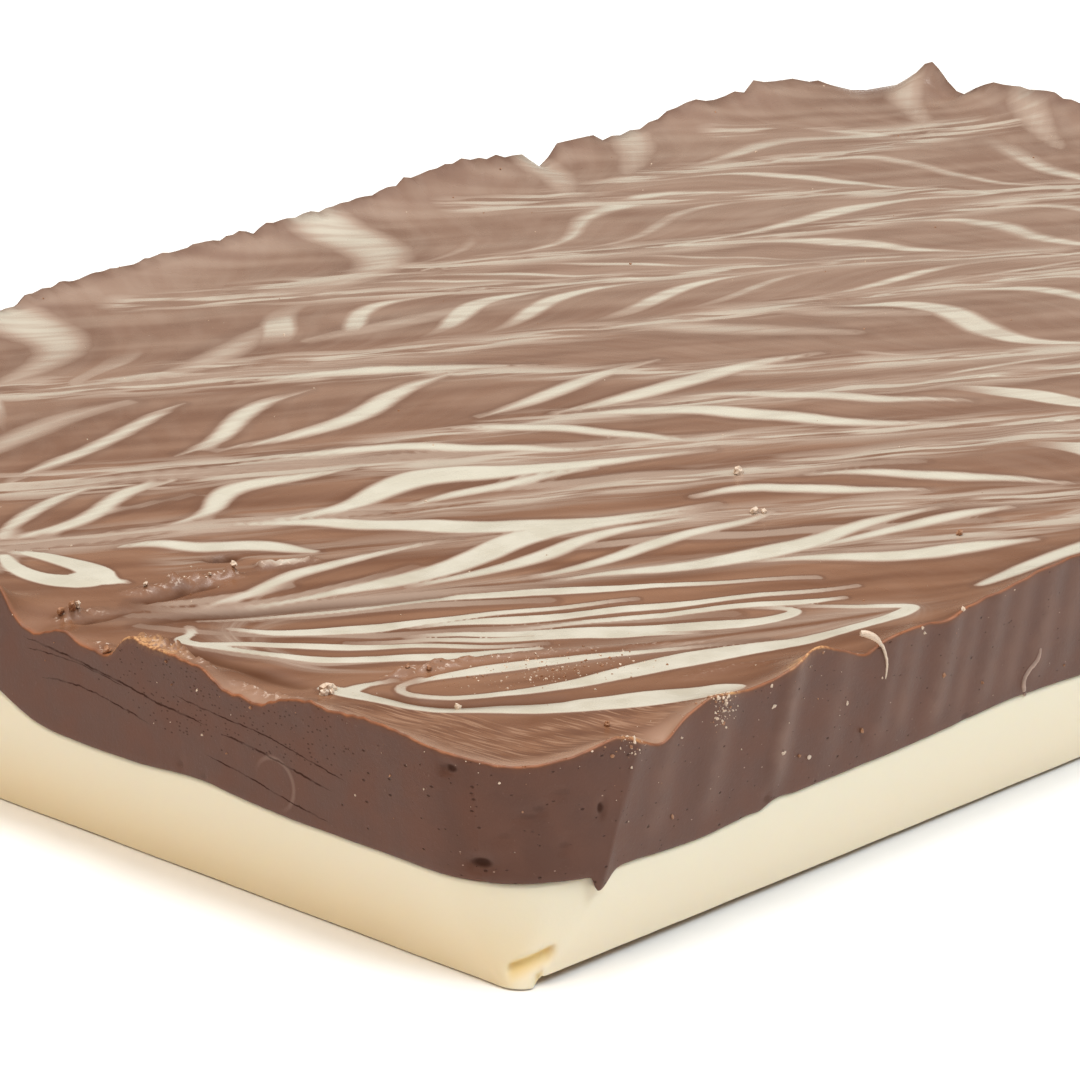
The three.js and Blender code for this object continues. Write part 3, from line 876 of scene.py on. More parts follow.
def strand_depth(points):
    """Depth inside the nearest strand in units of its soft edge; very thin strands fade instead."""
    depth = np.full(len(points), FAR_FROM_STRANDS)
    for soft, fullest, strands in STRANDS:
        for strand in strands:
            path = round_off(strand, 3)
            reach = path[:, 2].max() - FAR_FROM_STRANDS * soft
            low = path[:, :2].min(0) - reach
            high = path[:, :2].max(0) + reach
            near = np.flatnonzero(((points > low) & (points < high)).all(1))
            for start, end in zip(path, path[1:]):
                share, away = nearest_on(points[near], start[:2], end[:2])
                half_width = start[2] + share * (end[2] - start[2])
                shown = np.maximum(half_width, THINNEST)
                inside = (shown - (away ** 2).sum(1) / shown) / 2
                most = 2 * fullest * np.minimum(half_width / FULL_WIDTH, 1) - 1
                most = np.where(fullest * half_width > FULL_WIDTH, np.inf, most)
                depth[near] = np.maximum(depth[near], np.minimum(inside / soft, most))
    return depth


def zone_depth(points):
    """How far inside the strands' own part of the top each point lies; negative outside."""
    depth = np.full(len(points), -FAR_OUTSIDE)
    for zone in STRAND_ZONES:
        corners = np.array(zone, float)
        inside = np.zeros(len(points), bool)
        least = np.full(len(points), FAR_OUTSIDE)
        for start, end in zip(corners, np.roll(corners, -1, 0)):
            _, away = nearest_on(points, start, end)
            least = np.minimum(least, np.hypot(*away.T))
            spans = (start[1] > points[:, 1]) != (end[1] > points[:, 1])
            run, rise = end - start
            with np.errstate(divide="ignore", invalid="ignore"):
                crossing = start[0] + (points[:, 1] - start[1]) * run / rise
            inside ^= spans & (points[:, 0] < crossing)
        depth = np.maximum(depth, np.where(inside, least, -least))
    return depth


first_middle = np.array([[-121.0, -84.8]])
print(f"the corner's first strand is {strand_depth(first_middle)[0]:.1f} soft edges deep")

# %% [markdown]
# The chocolate layer
#
# The layer is one closed skin: a bottom, rows up the wall, a rounded crest and the dished top. Rows and
# grid are numpy arrays, which is quicker than adding vertices one by one. Each vertex also keeps where it
# lay when poured, so that the finish can draw the cream there.

# %% Rows of the chocolate's skin
WALL_ROWS = 19
EDGE_ROWS = 4
EDGE_ROUND = 0.35
FOOT_ROUND = 0.5
BOTTOM_INSET = 3.0


def row(inset, z, push=0.0):
    """One ring of the skin, bent to the outline at its height."""
    x, y, _, _ = bend(lap_x, lap_y, inset - push, corner_radius(z))
    return np.stack([x, y, np.broadcast_to(z, x.shape)], 1)


foot = layer_line(wall_x, wall_y) + LAYER_GAP - drip(wall_x, out_y)
brow = rim_height(wall_x, wall_y) - EDGE_ROUND
chocolate_rings = [row(BOTTOM_INSET, foot + FOOT_ROUND)]
for turn in np.linspace(0, np.pi / 2, EDGE_ROWS):
    inset = FOOT_ROUND * (1 - math.sin(turn))
    lift = FOOT_ROUND * (1 - math.cos(turn))
    chocolate_rings.append(row(inset, foot + lift, wall_push(foot)))
for share in np.linspace(0, 1, WALL_ROWS + 1)[1:]:
    z = foot + FOOT_ROUND + share * (brow - foot - FOOT_ROUND)
    chocolate_rings.append(row(0.0, z, wall_push(z)))
for turn in np.linspace(0, np.pi / 2, EDGE_ROWS + 1)[1:-1]:
    inset = EDGE_ROUND * (1 - math.cos(turn))
    lift = EDGE_ROUND * math.sin(turn)
    chocolate_rings.append(row(inset, brow + lift, wall_push(brow)))
print(f"{len(chocolate_rings)} rings up the chocolate's wall")

# %% Torn ridges of the top
LUMP_LENGTHS = (1.6, 2.3, 3.4)
HOLLOW_GAIN = 1.3
FULLY_TORN = 0.3
FULLY_HOLLOW = 0.5
# Paths of torn chocolate: place, half width and rise at each point; a negative rise is a hollow
TORN_RIDGES = [
    [(-131, -58.3, 0.8, 0.4), (-127.5, -58.8, 0.9, 0.9), (-124, -59.6, 0.9, 0.8), (-118, -62, 0.8, 0.4),
     (-113, -65, 0.7, 0.22), (-107, -69, 0.7, 0.18), (-100, -73.5, 0.6, 0.14), (-93, -79.5, 0.6, 0.1),
     (-89, -83, 0.5, 0.05)],
    [(-105, -87, 0.8, 0.06), (-100.5, -87.6, 0.9, 0.13), (-97, -89.4, 0.8, 0.12), (-94.5, -91.8, 0.8, 0.13),
     (-92, -93, 0.7, 0.06)],
    [(-132, -9.4, 0.6, 0.5), (-129.4, -10.4, 0.9, 0.9), (-126.4, -11.4, 0.8, 0.75), (-123, -12.2, 0.9, 1.2),
     (-120.4, -13.2, 0.9, 1.0), (-117, -14.8, 0.6, 0.8)],
    [(-133.5, -12.8, 0.8, -0.3), (-130, -13.6, 0.9, -0.9), (-126.6, -14.0, 0.8, -1.0),
     (-122, -15.2, 0.7, -0.5)],
    [(-145.4, -11, 0.8, 0.9), (-144.2, -10.6, 1.0, 1.1), (-142.4, -11.2, 0.9, 0.8),
     (-139.6, -11.6, 0.8, 0.5)],
    [(-144.4, -13.6, 0.8, -0.7), (-141, -14.2, 0.7, -0.5), (-137.6, -14.2, 0.6, -0.3)],
    [(-148.5, -21, 0.7, 0.4), (-148.3, -23.4, 0.8, 0.9), (-148.2, -25, 0.6, 0.3)],
    [(-147.4, -29, 1.4, 1.0), (-147.0, -33, 1.6, 1.3), (-147.4, -38, 1.2, 0.7), (-147.8, -43, 0.8, 0.4)],
    [(-147, -47, 0.8, 0.4), (-147.2, -53, 0.8, 0.5), (-146.4, -58, 0.7, 0.3)],
    [(-114, -7.5, 1.2, -0.9), (-112.6, -8.6, 1.2, -0.9)],
    [(-112, -15, 0.9, 0.5), (-108, -16.8, 1.0, 0.6), (-105, -17.8, 0.7, 0.3)],
    [(-137, -20, 1.6, -0.3), (-128, -25, 1.6, -0.45), (-116, -33.5, 1.5, -0.35), (-104, -41, 1.4, -0.2)],
    [(-143.5, -34, 1.6, -0.4), (-142.5, -44, 1.8, -0.45), (-141, -52, 1.6, -0.3)],
    [(-136.5, -62, 1.2, -0.3), (-136, -68, 1.3, -0.35), (-131, -75.5, 1.3, -0.3), (-122, -80.5, 1.4, -0.2)],
]


def torn(points, ridges):
    """Rise of the torn ridges at each point, and how torn and how hollow it is there."""
    rise = np.zeros(len(points))
    for ridge in ridges:
        path = round_off(ridge, 2)
        nearest = np.full(len(points), np.inf)
        lift = np.zeros(len(points))
        for start, end in zip(path, path[1:]):
            share, away = nearest_on(points, start[:2], end[:2])
            away = np.hypot(*away.T) / (start[2] + share * (end[2] - start[2]))
            closer = away < nearest
            nearest[closer] = away[closer]
            lift[closer] = (start[3] + share * (end[3] - start[3]))[closer]
        rise += lift * np.exp(-nearest ** 2)
    lumps = 0.5 + 1.1 * np.abs(waves(points[:, 0], points[:, 1], LUMP_LENGTHS, 12))
    height = np.where(rise > 0, rise * lumps, HOLLOW_GAIN * rise)
    return height, np.clip(rise / FULLY_TORN, 0, 1), np.clip(-rise / FULLY_HOLLOW, 0, 1)


print(f"{len(TORN_RIDGES)} torn ridges and hollows")

# %% The dished top
DISH_REACH = 4.2
CRUMBLE_REACH = 1.3
SET_WAVES = 0.13
SET_WAVE_LENGTHS = (11.0, 17.0, 23.0, 31.0, 43.0)
STRAND_RISE = 0.12


def nearest_wall(x, y):
    """Distance to the wall and the way to it."""
    from_x = HALF_LENGTH - np.abs(x)
    from_y = HALF_WIDTH - np.abs(y)
    q_x = np.abs(x) - (HALF_LENGTH - rim_corner)
    q_y = np.abs(y) - (HALF_WIDTH - rim_corner)
    in_corner = (q_x > 0) & (q_y > 0)
    reach = np.hypot(q_x, q_y)
    inset = np.where(in_corner, rim_corner - reach, np.minimum(from_x, from_y))
    by_x = from_x < from_y
    way_x = np.where(in_corner, q_x / reach, by_x) * np.sign(x)
    way_y = np.where(in_corner, q_y / reach, ~by_x) * np.sign(y)
    return inset, way_x, way_y


rim_corner = corner_radius(RIM)
top_x, top_y = np.meshgrid(grid_x, grid_y, indexing="ij")
top_x, top_y, _, _ = bend(top_x.ravel(), top_y.ravel(), EDGE_ROUND, rim_corner)
top_plan = np.stack([top_x, top_y], 1)
top_laid = strand_depth(top_plan)
top_inset, way_x, way_y = nearest_wall(top_x, top_y)
rim_x = top_x + way_x * top_inset
rim_y = top_y + way_y * top_inset
top_z = TOP + (crag_height(rim_x, rim_y) - TOP) * np.exp(-(top_inset - EDGE_ROUND) / DISH_REACH)
top_z += crumble(rim_x, rim_y) * np.exp(-(top_inset - EDGE_ROUND) / CRUMBLE_REACH)
top_z += SET_WAVES * waves(top_x, top_y, SET_WAVE_LENGTHS, 2) * smooth_step(top_inset, 0.5, 6.0)
torn_rise, top_torn, top_hollow = torn(top_plan, TORN_RIDGES)
top_z += torn_rise * smooth_step(top_inset, 0.2, 1.5)
top_z += STRAND_RISE * smooth_step(top_laid, -2.5, 1.5)
print(f"the top lies at {np.median(top_z):.1f} mm and its rim reaches {top_z.max():.1f} mm")

# %% Join rings and top into one skin
PUSH_FADE = 3.0
TOP_SHAPE = (GRID_X + 1, GRID_Y + 1)


def ring_faces(first, second):
    """Squares between two rings of vertex numbers, facing out where the second ring is the upper one."""
    return np.stack([first, np.roll(first, -1), np.roll(second, -1), second], 1)


def top_faces(laid):
    """Triangles of the top: each square is cut along the strand that crosses it, for smooth edges."""
    squares = (top_numbers[:-1, :-1], top_numbers[1:, :-1], top_numbers[1:, 1:], top_numbers[:-1, 1:])
    a, b, c, d = (numbers.ravel() for numbers in squares)
    rising = (np.abs(laid[a] - laid[c]) < np.abs(laid[b] - laid[d]))[:, None]
    first = np.where(rising, np.stack([a, b, c], 1), np.stack([a, b, d], 1))
    second = np.where(rising, np.stack([a, c, d], 1), np.stack([b, c, d], 1))
    return np.concatenate([first, second])


top_push = push(rim_x, top_y, way_y, top_z) * np.exp(-(top_inset - EDGE_ROUND) / PUSH_FADE)
top_points = np.stack([top_x + way_x * top_push, top_y + way_y * top_push, top_z], 1)
top_numbers = np.arange(len(top_points)).reshape(TOP_SHAPE)
sides = [top_numbers[:-1, 0], top_numbers[-1, :-1], top_numbers[:0:-1, -1], top_numbers[0, :0:-1]]
lap = np.concatenate(sides)
top_points[lap] = row(EDGE_ROUND, brow + EDGE_ROUND, wall_push(brow))

skin_points = np.concatenate([top_points, *chocolate_rings, [[0, 0, LAYER_LINE + LAYER_GAP + FOOT_ROUND]]])
ring_numbers = [len(top_points) + n * STATIONS + np.arange(STATIONS) for n in range(len(chocolate_rings))]
skin_squares = np.concatenate([ring_faces(a, b) for a, b in zip(ring_numbers, ring_numbers[1:] + [lap])])
bottom = np.full(STATIONS, len(skin_points) - 1)
bottom_fan = np.stack([bottom, np.roll(ring_numbers[0], -1), ring_numbers[0]], 1)
top_triangles = top_faces(top_laid)
print(f"{len(skin_squares)} squares in the chocolate's wall, {len(top_triangles)} triangles on its top")

# %% [markdown]
# Values that the skin carries
#
# A finish can read values that are stored at the points of a mesh. The skin stores where each point was
# poured, how far it was drawn out, how deep it lies in a strand, and how near it is to the crest, a pleat
# or a brushed place. Further from the near corner the top gets softer and takes a paler painted sheen, so
# several values fade with that distance.

# %% Values of the marbled top
CREAM_EDGE = 0.35
MIX_RATE = 0.2
FAR_EDGE = 1.8
FAR_MIXED = 0.28
LEAST_STEP = 0.05
SPINE_REACH = 4.5
SPINE_STEP = 4.0
# Stretch over which fudge gets mixed, and distances from the near corner over which each value comes or goes
MIXED_STRETCH = (2.0, 9.0)
EDGE_SPAN = (120, 280)
MIXED_SPAN = (60, 260)
SPINE_SPAN = (70, 125)


def stretch_of(along):
    """How fast the place along the strokes changes over the set top: 1 where it was not stirred."""
    along, x, y = (values.reshape(TOP_SHAPE) for values in (along, top_x, top_y))
    rates = []
    for axis in (0, 1):
        step = np.hypot(np.gradient(x, axis=axis), np.gradient(y, axis=axis))
        rates.append(np.gradient(along, axis=axis) / np.maximum(step, LEAST_STEP))
    return np.hypot(*rates).ravel()


def near_strokes(points):
    """How near each point is to the skewer's path, 1 on it."""
    least = np.full(len(points), np.inf)
    for stroke, _ in strokes:
        path = even_steps(stroke, SPINE_STEP)
        for start, end in zip(path, path[1:]):
            _, away = nearest_on(points, start, end)
            least = np.minimum(least, (away ** 2).sum(1))
    return np.exp(-least / SPINE_REACH ** 2)


from_corner = np.hypot(top_x + HALF_LENGTH, top_y + HALF_WIDTH)
top_poured = pour(unstir(top_plan))
top_stretch = stretch_of(top_poured[:, 0])
top_edge = CREAM_EDGE + MIX_RATE * np.maximum(top_stretch - 1, 0) ** 2
top_edge = top_edge + FAR_EDGE * smooth_step(from_corner, *EDGE_SPAN)
far_mixed = FAR_MIXED * smooth_step(from_corner, *MIXED_SPAN)
top_mixed = np.maximum(smooth_step(top_stretch, *MIXED_STRETCH), far_mixed)
top_spine = near_strokes(top_plan) * smooth_step(from_corner, *SPINE_SPAN)
print(f"stretch: median {np.median(top_stretch):.1f}, 95% under {np.percentile(top_stretch, 95):.1f}")

# %% Values of the wall, the crest and the lip
FULL_PLEAT = 0.6
CREST_SHARES = (0.6, 1.0, 1.0, 0.5, 0.1)
CREST_REACH = 2.4
LIP_REACH = 3.2
LIP_SPAN = (75, 35)
# Places on the rim where the lining brushed the crest pale: place and reach
BRUSHED_CRESTS = [
    (-150, -29.5, 3.2), (-150, -34, 3.5), (-97, -100, 2.6), (-94.5, -100, 2.6), (-112, -100, 2.4),
    (-131, -100, 1.8),
]


def top_only(values):
    """Values for the whole skin: the top's own and 0 below it."""
    return np.concatenate([values, np.zeros(len(skin_points) - len(top_points))])


# Pleat height as a share: the mask for the painted sheen on the pleats.
pleat_sheen_share = np.zeros(len(skin_points))
for numbers in ring_numbers[1:]:
    pleat_sheen_share[numbers] = pleat(wall_x, wall_y, out_y, skin_points[numbers, 2]) / FULL_PLEAT
crest_share = np.zeros(len(skin_points))
for numbers, share in zip([lap, *ring_numbers[::-1]], CREST_SHARES):
    crest_share[numbers] = share
near_crest = np.maximum(top_only(np.exp(-(top_inset / CREST_REACH) ** 2)), crest_share)
brushed_spots = [(x, y, 1.0, reach) for x, y, reach in BRUSHED_CRESTS]
brushed = near_crest * np.clip(bells(brushed_spots, *skin_points[:, :2].T), 0, 1)
lip = np.exp(-(top_inset / LIP_REACH) ** 2) * smooth_step(from_corner, *LIP_SPAN)
print(f"{np.count_nonzero(brushed > 0.5)} points are brushed pale")

# %% Make the chocolate piece
END_WALL_DEPTH = 1.5
FAR_SPAN = (90, 240)
MILKY_SPAN = (60, 170)


def spread_down(top_values, wall_value):
    """Values for the whole skin: the top's own, the border's on the crest rings, and one value lower down."""
    crest_rings = EDGE_ROWS - 1
    rings = [np.broadcast_to(wall_value, top_values[lap].shape)] * (len(chocolate_rings) - crest_rings)
    rings += [top_values[lap]] * crest_rings
    last = np.broadcast_to(wall_value, top_values[:1].shape)
    return np.concatenate([top_values, *rings, last])


def make_piece(name, points, faces, values):
    """A piece from points, groups of faces and values at points; each face keeps its group's number."""
    mesh = bpy.data.meshes.new(name)
    mesh.from_pydata((points * MM).tolist(), [], [face for group in faces for face in group.tolist()])
    for attribute, data in values.items():
        kind, field = ("FLOAT_VECTOR", "vector") if data.ndim == 2 else ("FLOAT", "value")
        stored = mesh.attributes.new(attribute, kind, "POINT")
        stored.data.foreach_set(field, data.astype(np.float32).ravel())
    finish = np.concatenate([np.full(len(group), number) for number, group in enumerate(faces)])
    mesh.attributes.new("finish", "INT", "FACE").data.foreach_set("value", finish.astype(np.int32))
    mesh.shade_smooth()
    piece = bpy.data.objects.new(name, mesh)
    bpy.context.scene.collection.objects.link(piece)
    return piece


end_wall = skin_points[skin_squares, 0].max(1) < -HALF_LENGTH + END_WALL_DEPTH
skin_faces = [top_triangles, skin_squares[~end_wall], skin_squares[end_wall], bottom_fan]
chocolate = make_piece("chocolate_slab", skin_points, skin_faces, {
    "poured": spread_down(top_poured, (0.0, 0.0, 0.0)),
    "edge": spread_down(top_edge, CREAM_EDGE),
    "mixed": spread_down(top_mixed, 0.0),
    "laid": spread_down(top_laid, FAR_FROM_STRANDS),
    "zone": spread_down(zone_depth(top_plan), FAR_OUTSIDE),
    "crest": crest_share,
    "ridge": pleat_sheen_share,
    "torn": spread_down(top_torn, 0.0),
    "hollow": spread_down(top_hollow, 0.0),
    "far": spread_down(smooth_step(from_corner, *FAR_SPAN), 0.0),
    "milky": spread_down(smooth_step(from_corner, *MILKY_SPAN), 0.0),
    "spine": spread_down(top_spine, 0.0),
    "brushed": brushed,
    "lip": top_only(lip),
})
print(f"{chocolate.name}: {len(chocolate.data.vertices)} vertices")

# %% [markdown]
# The cream layer
#
# The cream is a plainer skin: a low undercut along the bottom edge, rows up the wall and a lid under the
# chocolate. At the near corner a nick was broken out of the base when the slab left the tray.

# %% Nick and lifted base edge of the cream
BASE_EDGE = 0.2
LONG_LIFT = 1.1
LIFT_REACH = 110.0
LIFT_START = 0.6
NICK_START = -3.0
NICK_END = 7.6
NICK_HEIGHT = 2.8
NICK_SLOPE = 0.22
NICK_HALF = 0.85
NICK_DEPTH = 1.2
NICK_REACH = 18.0
NOTCH_AT = 3.6
NOTCH_HALF = 0.7
NOTCH_DEPTH = 0.9

corner_run = (wall_x + HALF_LENGTH) - (wall_y + HALF_WIDTH)
near_corner = (wall_x < -HALF_LENGTH + NICK_REACH) & (wall_y < -HALF_WIDTH + NICK_REACH)


def nick(z):
    """How deep the nick is at a height: a slanting groove with a sharp upper edge, and a notch under it."""
    centre = NICK_HEIGHT + NICK_SLOPE * corner_run
    length_share = smooth_step(corner_run, NICK_START, NICK_START + 1.5)
    length_share *= 1 - smooth_step(corner_run, NICK_END - 2.5, NICK_END)
    groove = smooth_step(z, centre - 2.2 * NICK_HALF, centre)
    groove = groove * (1 - smooth_step(z, centre + 0.1, centre + 0.9))
    notch = np.exp(-((corner_run - NOTCH_AT) / NOTCH_HALF) ** 2) * (1 - smooth_step(z, 1.2, 2.2))
    return np.where(near_corner, NICK_DEPTH * groove * length_share + NOTCH_DEPTH * notch, 0)


def base_height():
    """Height of the base edge: low all round, lifted along the near long wall and most beside the nick."""
    run = np.maximum(corner_run - NOTCH_AT, 0)
    share = smooth_step(corner_run, NOTCH_AT, NOTCH_AT + LIFT_START) * np.exp(-run / LIFT_REACH)
    return BASE_EDGE + LONG_LIFT * np.where(wall_y < -HALF_WIDTH + 5, share, 0)


base_edge = base_height()
print(f"the base edge is {base_edge.min():.1f} to {base_edge.max():.1f} mm high")

# %% Make the cream piece
CREAM_ROWS = 24
UNDER_ROWS = EDGE_ROWS + 2
BASE_UNDERCUT = 4.5
BASE_ROUND = 0.15
LID_INSET = 1.5


def nicked_row(inset, z):
    return row(inset, z, -nick(z))


joint = layer_line(wall_x, wall_y)
wall_foot = base_edge + BASE_ROUND
cream_rings = []
for share in np.linspace(0, 1, UNDER_ROWS + 1)[:-1]:
    inset = BASE_ROUND + (BASE_UNDERCUT - BASE_ROUND) * (1 - share)
    cream_rings.append(nicked_row(inset, base_edge * (1 - (1 - share) ** 3)))
for turn in np.linspace(0, np.pi / 2, EDGE_ROWS):
    inset = BASE_ROUND * (1 - math.sin(turn))
    cream_rings.append(nicked_row(inset, base_edge + BASE_ROUND * (1 - math.cos(turn))))
for share in np.linspace(0, 1, CREAM_ROWS + 1)[1:]:
    cream_rings.append(nicked_row(0.0, wall_foot + (joint + LAYER_GAP - wall_foot) * share ** 1.5))
cream_rings.append(row(LID_INSET, joint + LAYER_GAP))
nicked = np.concatenate([*(nick(ring[:, 2]) / NICK_DEPTH for ring in cream_rings), [0, 0]])
wall_rings = len(cream_rings) - UNDER_ROWS
under = np.concatenate([np.ones(UNDER_ROWS * STATIONS), np.zeros(wall_rings * STATIONS), [1, 0]])

cream_points = np.concatenate([*cream_rings, [[0, 0, 0], [0, 0, LAYER_LINE]]])
cream_numbers = [n * STATIONS + np.arange(STATIONS) for n in range(len(cream_rings))]
cream_squares = np.concatenate([ring_faces(a, b) for a, b in zip(cream_numbers, cream_numbers[1:])])
middle = np.full(STATIONS, len(cream_points) - 2)
base_fan = np.stack([middle, np.roll(cream_numbers[0], -1), cream_numbers[0]], 1)
lid_fan = np.stack([middle + 1, cream_numbers[-1], np.roll(cream_numbers[-1], -1)], 1)
cream_faces = [cream_squares, base_fan, lid_fan]
cream = make_piece("cream_slab", cream_points, cream_faces, {"nicked": nicked, "under": under})
print(f"{cream.name}: {len(cream.data.vertices)} vertices")

# %% [markdown]
# Relief of the skins
#
# Set fudge is never quite smooth: the wall copies the lining's creases and the top has a fine grain. The
# relief follows one rule over a whole surface, so a small Geometry Nodes tree does it: each point moves
# along its normal by two sizes of noise. Its inputs are named, so that both layers use the same tree with
# their own depths.

# %% Helpers for Geometry Nodes
FLOAT = "NodeSocketFloat"
INT = "NodeSocketInt"
MATERIAL = "NodeSocketMaterial"


def group_inputs(tree, sockets):
    """Add the named inputs of a Geometry Nodes tree and its geometry sockets."""
    tree.interface.new_socket("Geometry", in_out="INPUT", socket_type="NodeSocketGeometry")
    tree.interface.new_socket("Geometry", in_out="OUTPUT", socket_type="NodeSocketGeometry")
    for name, kind in sockets.items():
        tree.interface.new_socket(name, in_out="INPUT", socket_type=kind)
    return tree.nodes.new("NodeGroupInput").outputs, tree.nodes.new("NodeGroupOutput").inputs[0]


def named_value(tree, name, kind):
    """A value that the mesh stores under a name."""
    feeds = {"Name": name}
    return add_node(tree, "GeometryNodeInputNamedAttribute", feeds, data_type=kind).outputs["Attribute"]


def made_real(tree, geometry, material):
    """Plain geometry with its material."""
    real = add_node(tree, "GeometryNodeRealizeInstances", {0: geometry}).outputs[0]
    return add_node(tree, "GeometryNodeSetMaterial", {"Geometry": real, "Material": material}).outputs[0]


def run_tree(piece, tree, inputs):
    """Run a tree on a piece with its inputs set, and keep the result as the piece's own plain mesh."""
    modifier = piece.modifiers.new(tree.name, "NODES")
    modifier.node_group = tree
    for item in tree.interface.items_tree:
        if item.in_out == "INPUT" and item.name in inputs:
            modifier[item.identifier] = inputs[item.name]
    evaluated = piece.evaluated_get(bpy.context.evaluated_depsgraph_get())
    mesh = bpy.data.meshes.new_from_object(evaluated)
    piece.modifiers.clear()
    piece.data = mesh
    mesh.name = piece.name


print("helpers for Geometry Nodes ready")

# %% A node tree for relief
def centred_noise(tree, scale):
    """Noise from -0.5 to 0.5 over the place of each point."""
    place = add_node(tree, "GeometryNodeInputPosition").outputs[0]
    value = add_node(tree, "ShaderNodeTexNoise", {"Vector": place, "Scale": scale, "Detail": 2.0}).outputs[0]
    return reckon(tree, "SUBTRACT", value, 0.5)


relief_tree = bpy.data.node_groups.new("skin relief", "GeometryNodeTree")
relief_in, relief_out = group_inputs(relief_tree, {
    "Lump scale": FLOAT, "Lump depth": FLOAT, "Grain scale": FLOAT, "Grain depth": FLOAT,
    "Material": MATERIAL, "Top material": MATERIAL, "End wall material": MATERIAL,
})
lumps = product(relief_tree, centred_noise(relief_tree, relief_in["Lump scale"]), relief_in["Lump depth"])
grains = product(relief_tree, centred_noise(relief_tree, relief_in["Grain scale"]), relief_in["Grain depth"])
normal = add_node(relief_tree, "GeometryNodeInputNormal").outputs[0]
offset = scaled(relief_tree, normal, reckon(relief_tree, "ADD", lumps, grains))
raise_feeds = {"Geometry": relief_in["Geometry"], "Offset": offset}
raised = add_node(relief_tree, "GeometryNodeSetPosition", raise_feeds).outputs[0]
finish = named_value(relief_tree, "finish", "INT")
dressed = made_real(relief_tree, raised, relief_in["Material"])
for number, socket in ((0, "Top material"), (2, "End wall material")):
    pair = {2: finish, 3: number}
    chosen = add_node(relief_tree, "FunctionNodeCompare", pair, data_type="INT", operation="EQUAL").outputs[0]
    feeds = {"Geometry": dressed, "Selection": chosen, "Material": relief_in[socket]}
    dressed = add_node(relief_tree, "GeometryNodeSetMaterial", feeds).outputs[0]
relief_tree.links.new(dressed, relief_out)
print(f"{relief_tree.name}: {len(relief_tree.nodes)} nodes")

# %% [markdown]
# Finish of the chocolate
#
# Three finishes cover the chocolate. The walls took the lining's dull skin and are greyer and darker, and
# the end wall has cracks as well. The open top is a warmer milk brown with the cream drawn on it. All have
# a fine grain. A curve node turns one value into another along knots, which gives the poured lines here and
# the cracks further down.

# %% Share of cream on the top
LINE_SPAN = 200.0
DEPTH_SPAN = 40.0
ZONE_FADE = 7.0


def curve_through(tree, value, knots, handles):
    """A curve node through knots from 0 to 1."""
    node = add_node(tree, "ShaderNodeFloatCurve", {"Value": value})
    points = node.mapping.curves[0].points
    while len(points) < len(knots):
        points.new(0.5, 0.5)
    for point, knot in zip(points, knots):
        point.location = knot
        point.handle_type = handles
    node.mapping.update()
    return node.outputs[0]


def line_curve(tree, along):
    """Depth inside the nearest poured line, as a curve over the place along the strokes."""
    depths = []
    for (left, left_width), (right, right_width) in zip(lines, lines[1:]):
        depths.append((left, left_width / 2))
        middle = (left + left_width / 2 + right - right_width / 2) / 2
        depths.append((middle, left + left_width / 2 - middle))
    shown = [(at, depth) for at, depth in depths if -LINE_SPAN < at < LINE_SPAN]
    knots = [((at + LINE_SPAN) / (2 * LINE_SPAN), 0.5 + depth / DEPTH_SPAN) for at, depth in shown]
    curve = curve_through(tree, ease_line(tree, along, -LINE_SPAN, LINE_SPAN), knots, "VECTOR")
    return product(tree, reckon(tree, "SUBTRACT", curve, 0.5), DEPTH_SPAN)


def streaky_noise(tree, first, second, detail):
    """Noise over two values; it is streaky where one of them changes slowly."""
    return noise(tree, flat_place(tree, first, second), 1.0, detail=detail)


def cream_share(tree, drawn, fine_lines):
    """How much of the top's colour is cream, and how streaky it is."""
    poured = add_node(tree, "ShaderNodeAttribute", attribute_name="poured").outputs["Vector"]
    along, across, swell = parts(tree, poured)
    edge = carried(tree, "edge")
    far = carried(tree, "far")
    outside = ease(tree, carried(tree, "zone"), -ZONE_FADE, ZONE_FADE, 1.0, 0.0)
    depth = reckon(tree, "ADD", line_curve(tree, along), swell)
    stirred = ease(tree, depth, product(tree, edge, -0.8), product(tree, edge, 1.2))
    soft = reckon(tree, "MULTIPLY_ADD", carried(tree, "milky"), 0.9, 1.0)
    strands = ease(tree, carried(tree, "laid"), product(tree, soft, -1.0), soft)
    cream = larger(tree, product(tree, stirred, outside), strands)
    lost = product(tree, far, ease(tree, fine_lines, 0.35, 0.6, -0.32, -0.15))
    cream = product(tree, cream, reckon(tree, "ADD", lost, 1.0))
    streak = streaky_noise(tree, product(tree, along, 0.3), product(tree, across, 0.07), 2.0)
    streak = ease(tree, streak, 0.35, 0.7)
    tan = reckon(tree, "MULTIPLY_ADD", carried(tree, "mixed"), 0.42, 0.03)
    tan = product(tree, tan, reckon(tree, "MULTIPLY_ADD", streak, 0.5, 0.65))
    tan = reckon(tree, "MULTIPLY_ADD", far, ease(tree, drawn, 0.3, 0.75, 0.02, 0.2), tan)
    spine = product(tree, carried(tree, "spine"), ease(tree, fine_lines, 0.37, 0.57, 0.0, 0.72))
    return larger(tree, cream, larger(tree, tan, spine)), streak


print(f"{len(lines)} lines of cream become one curve")
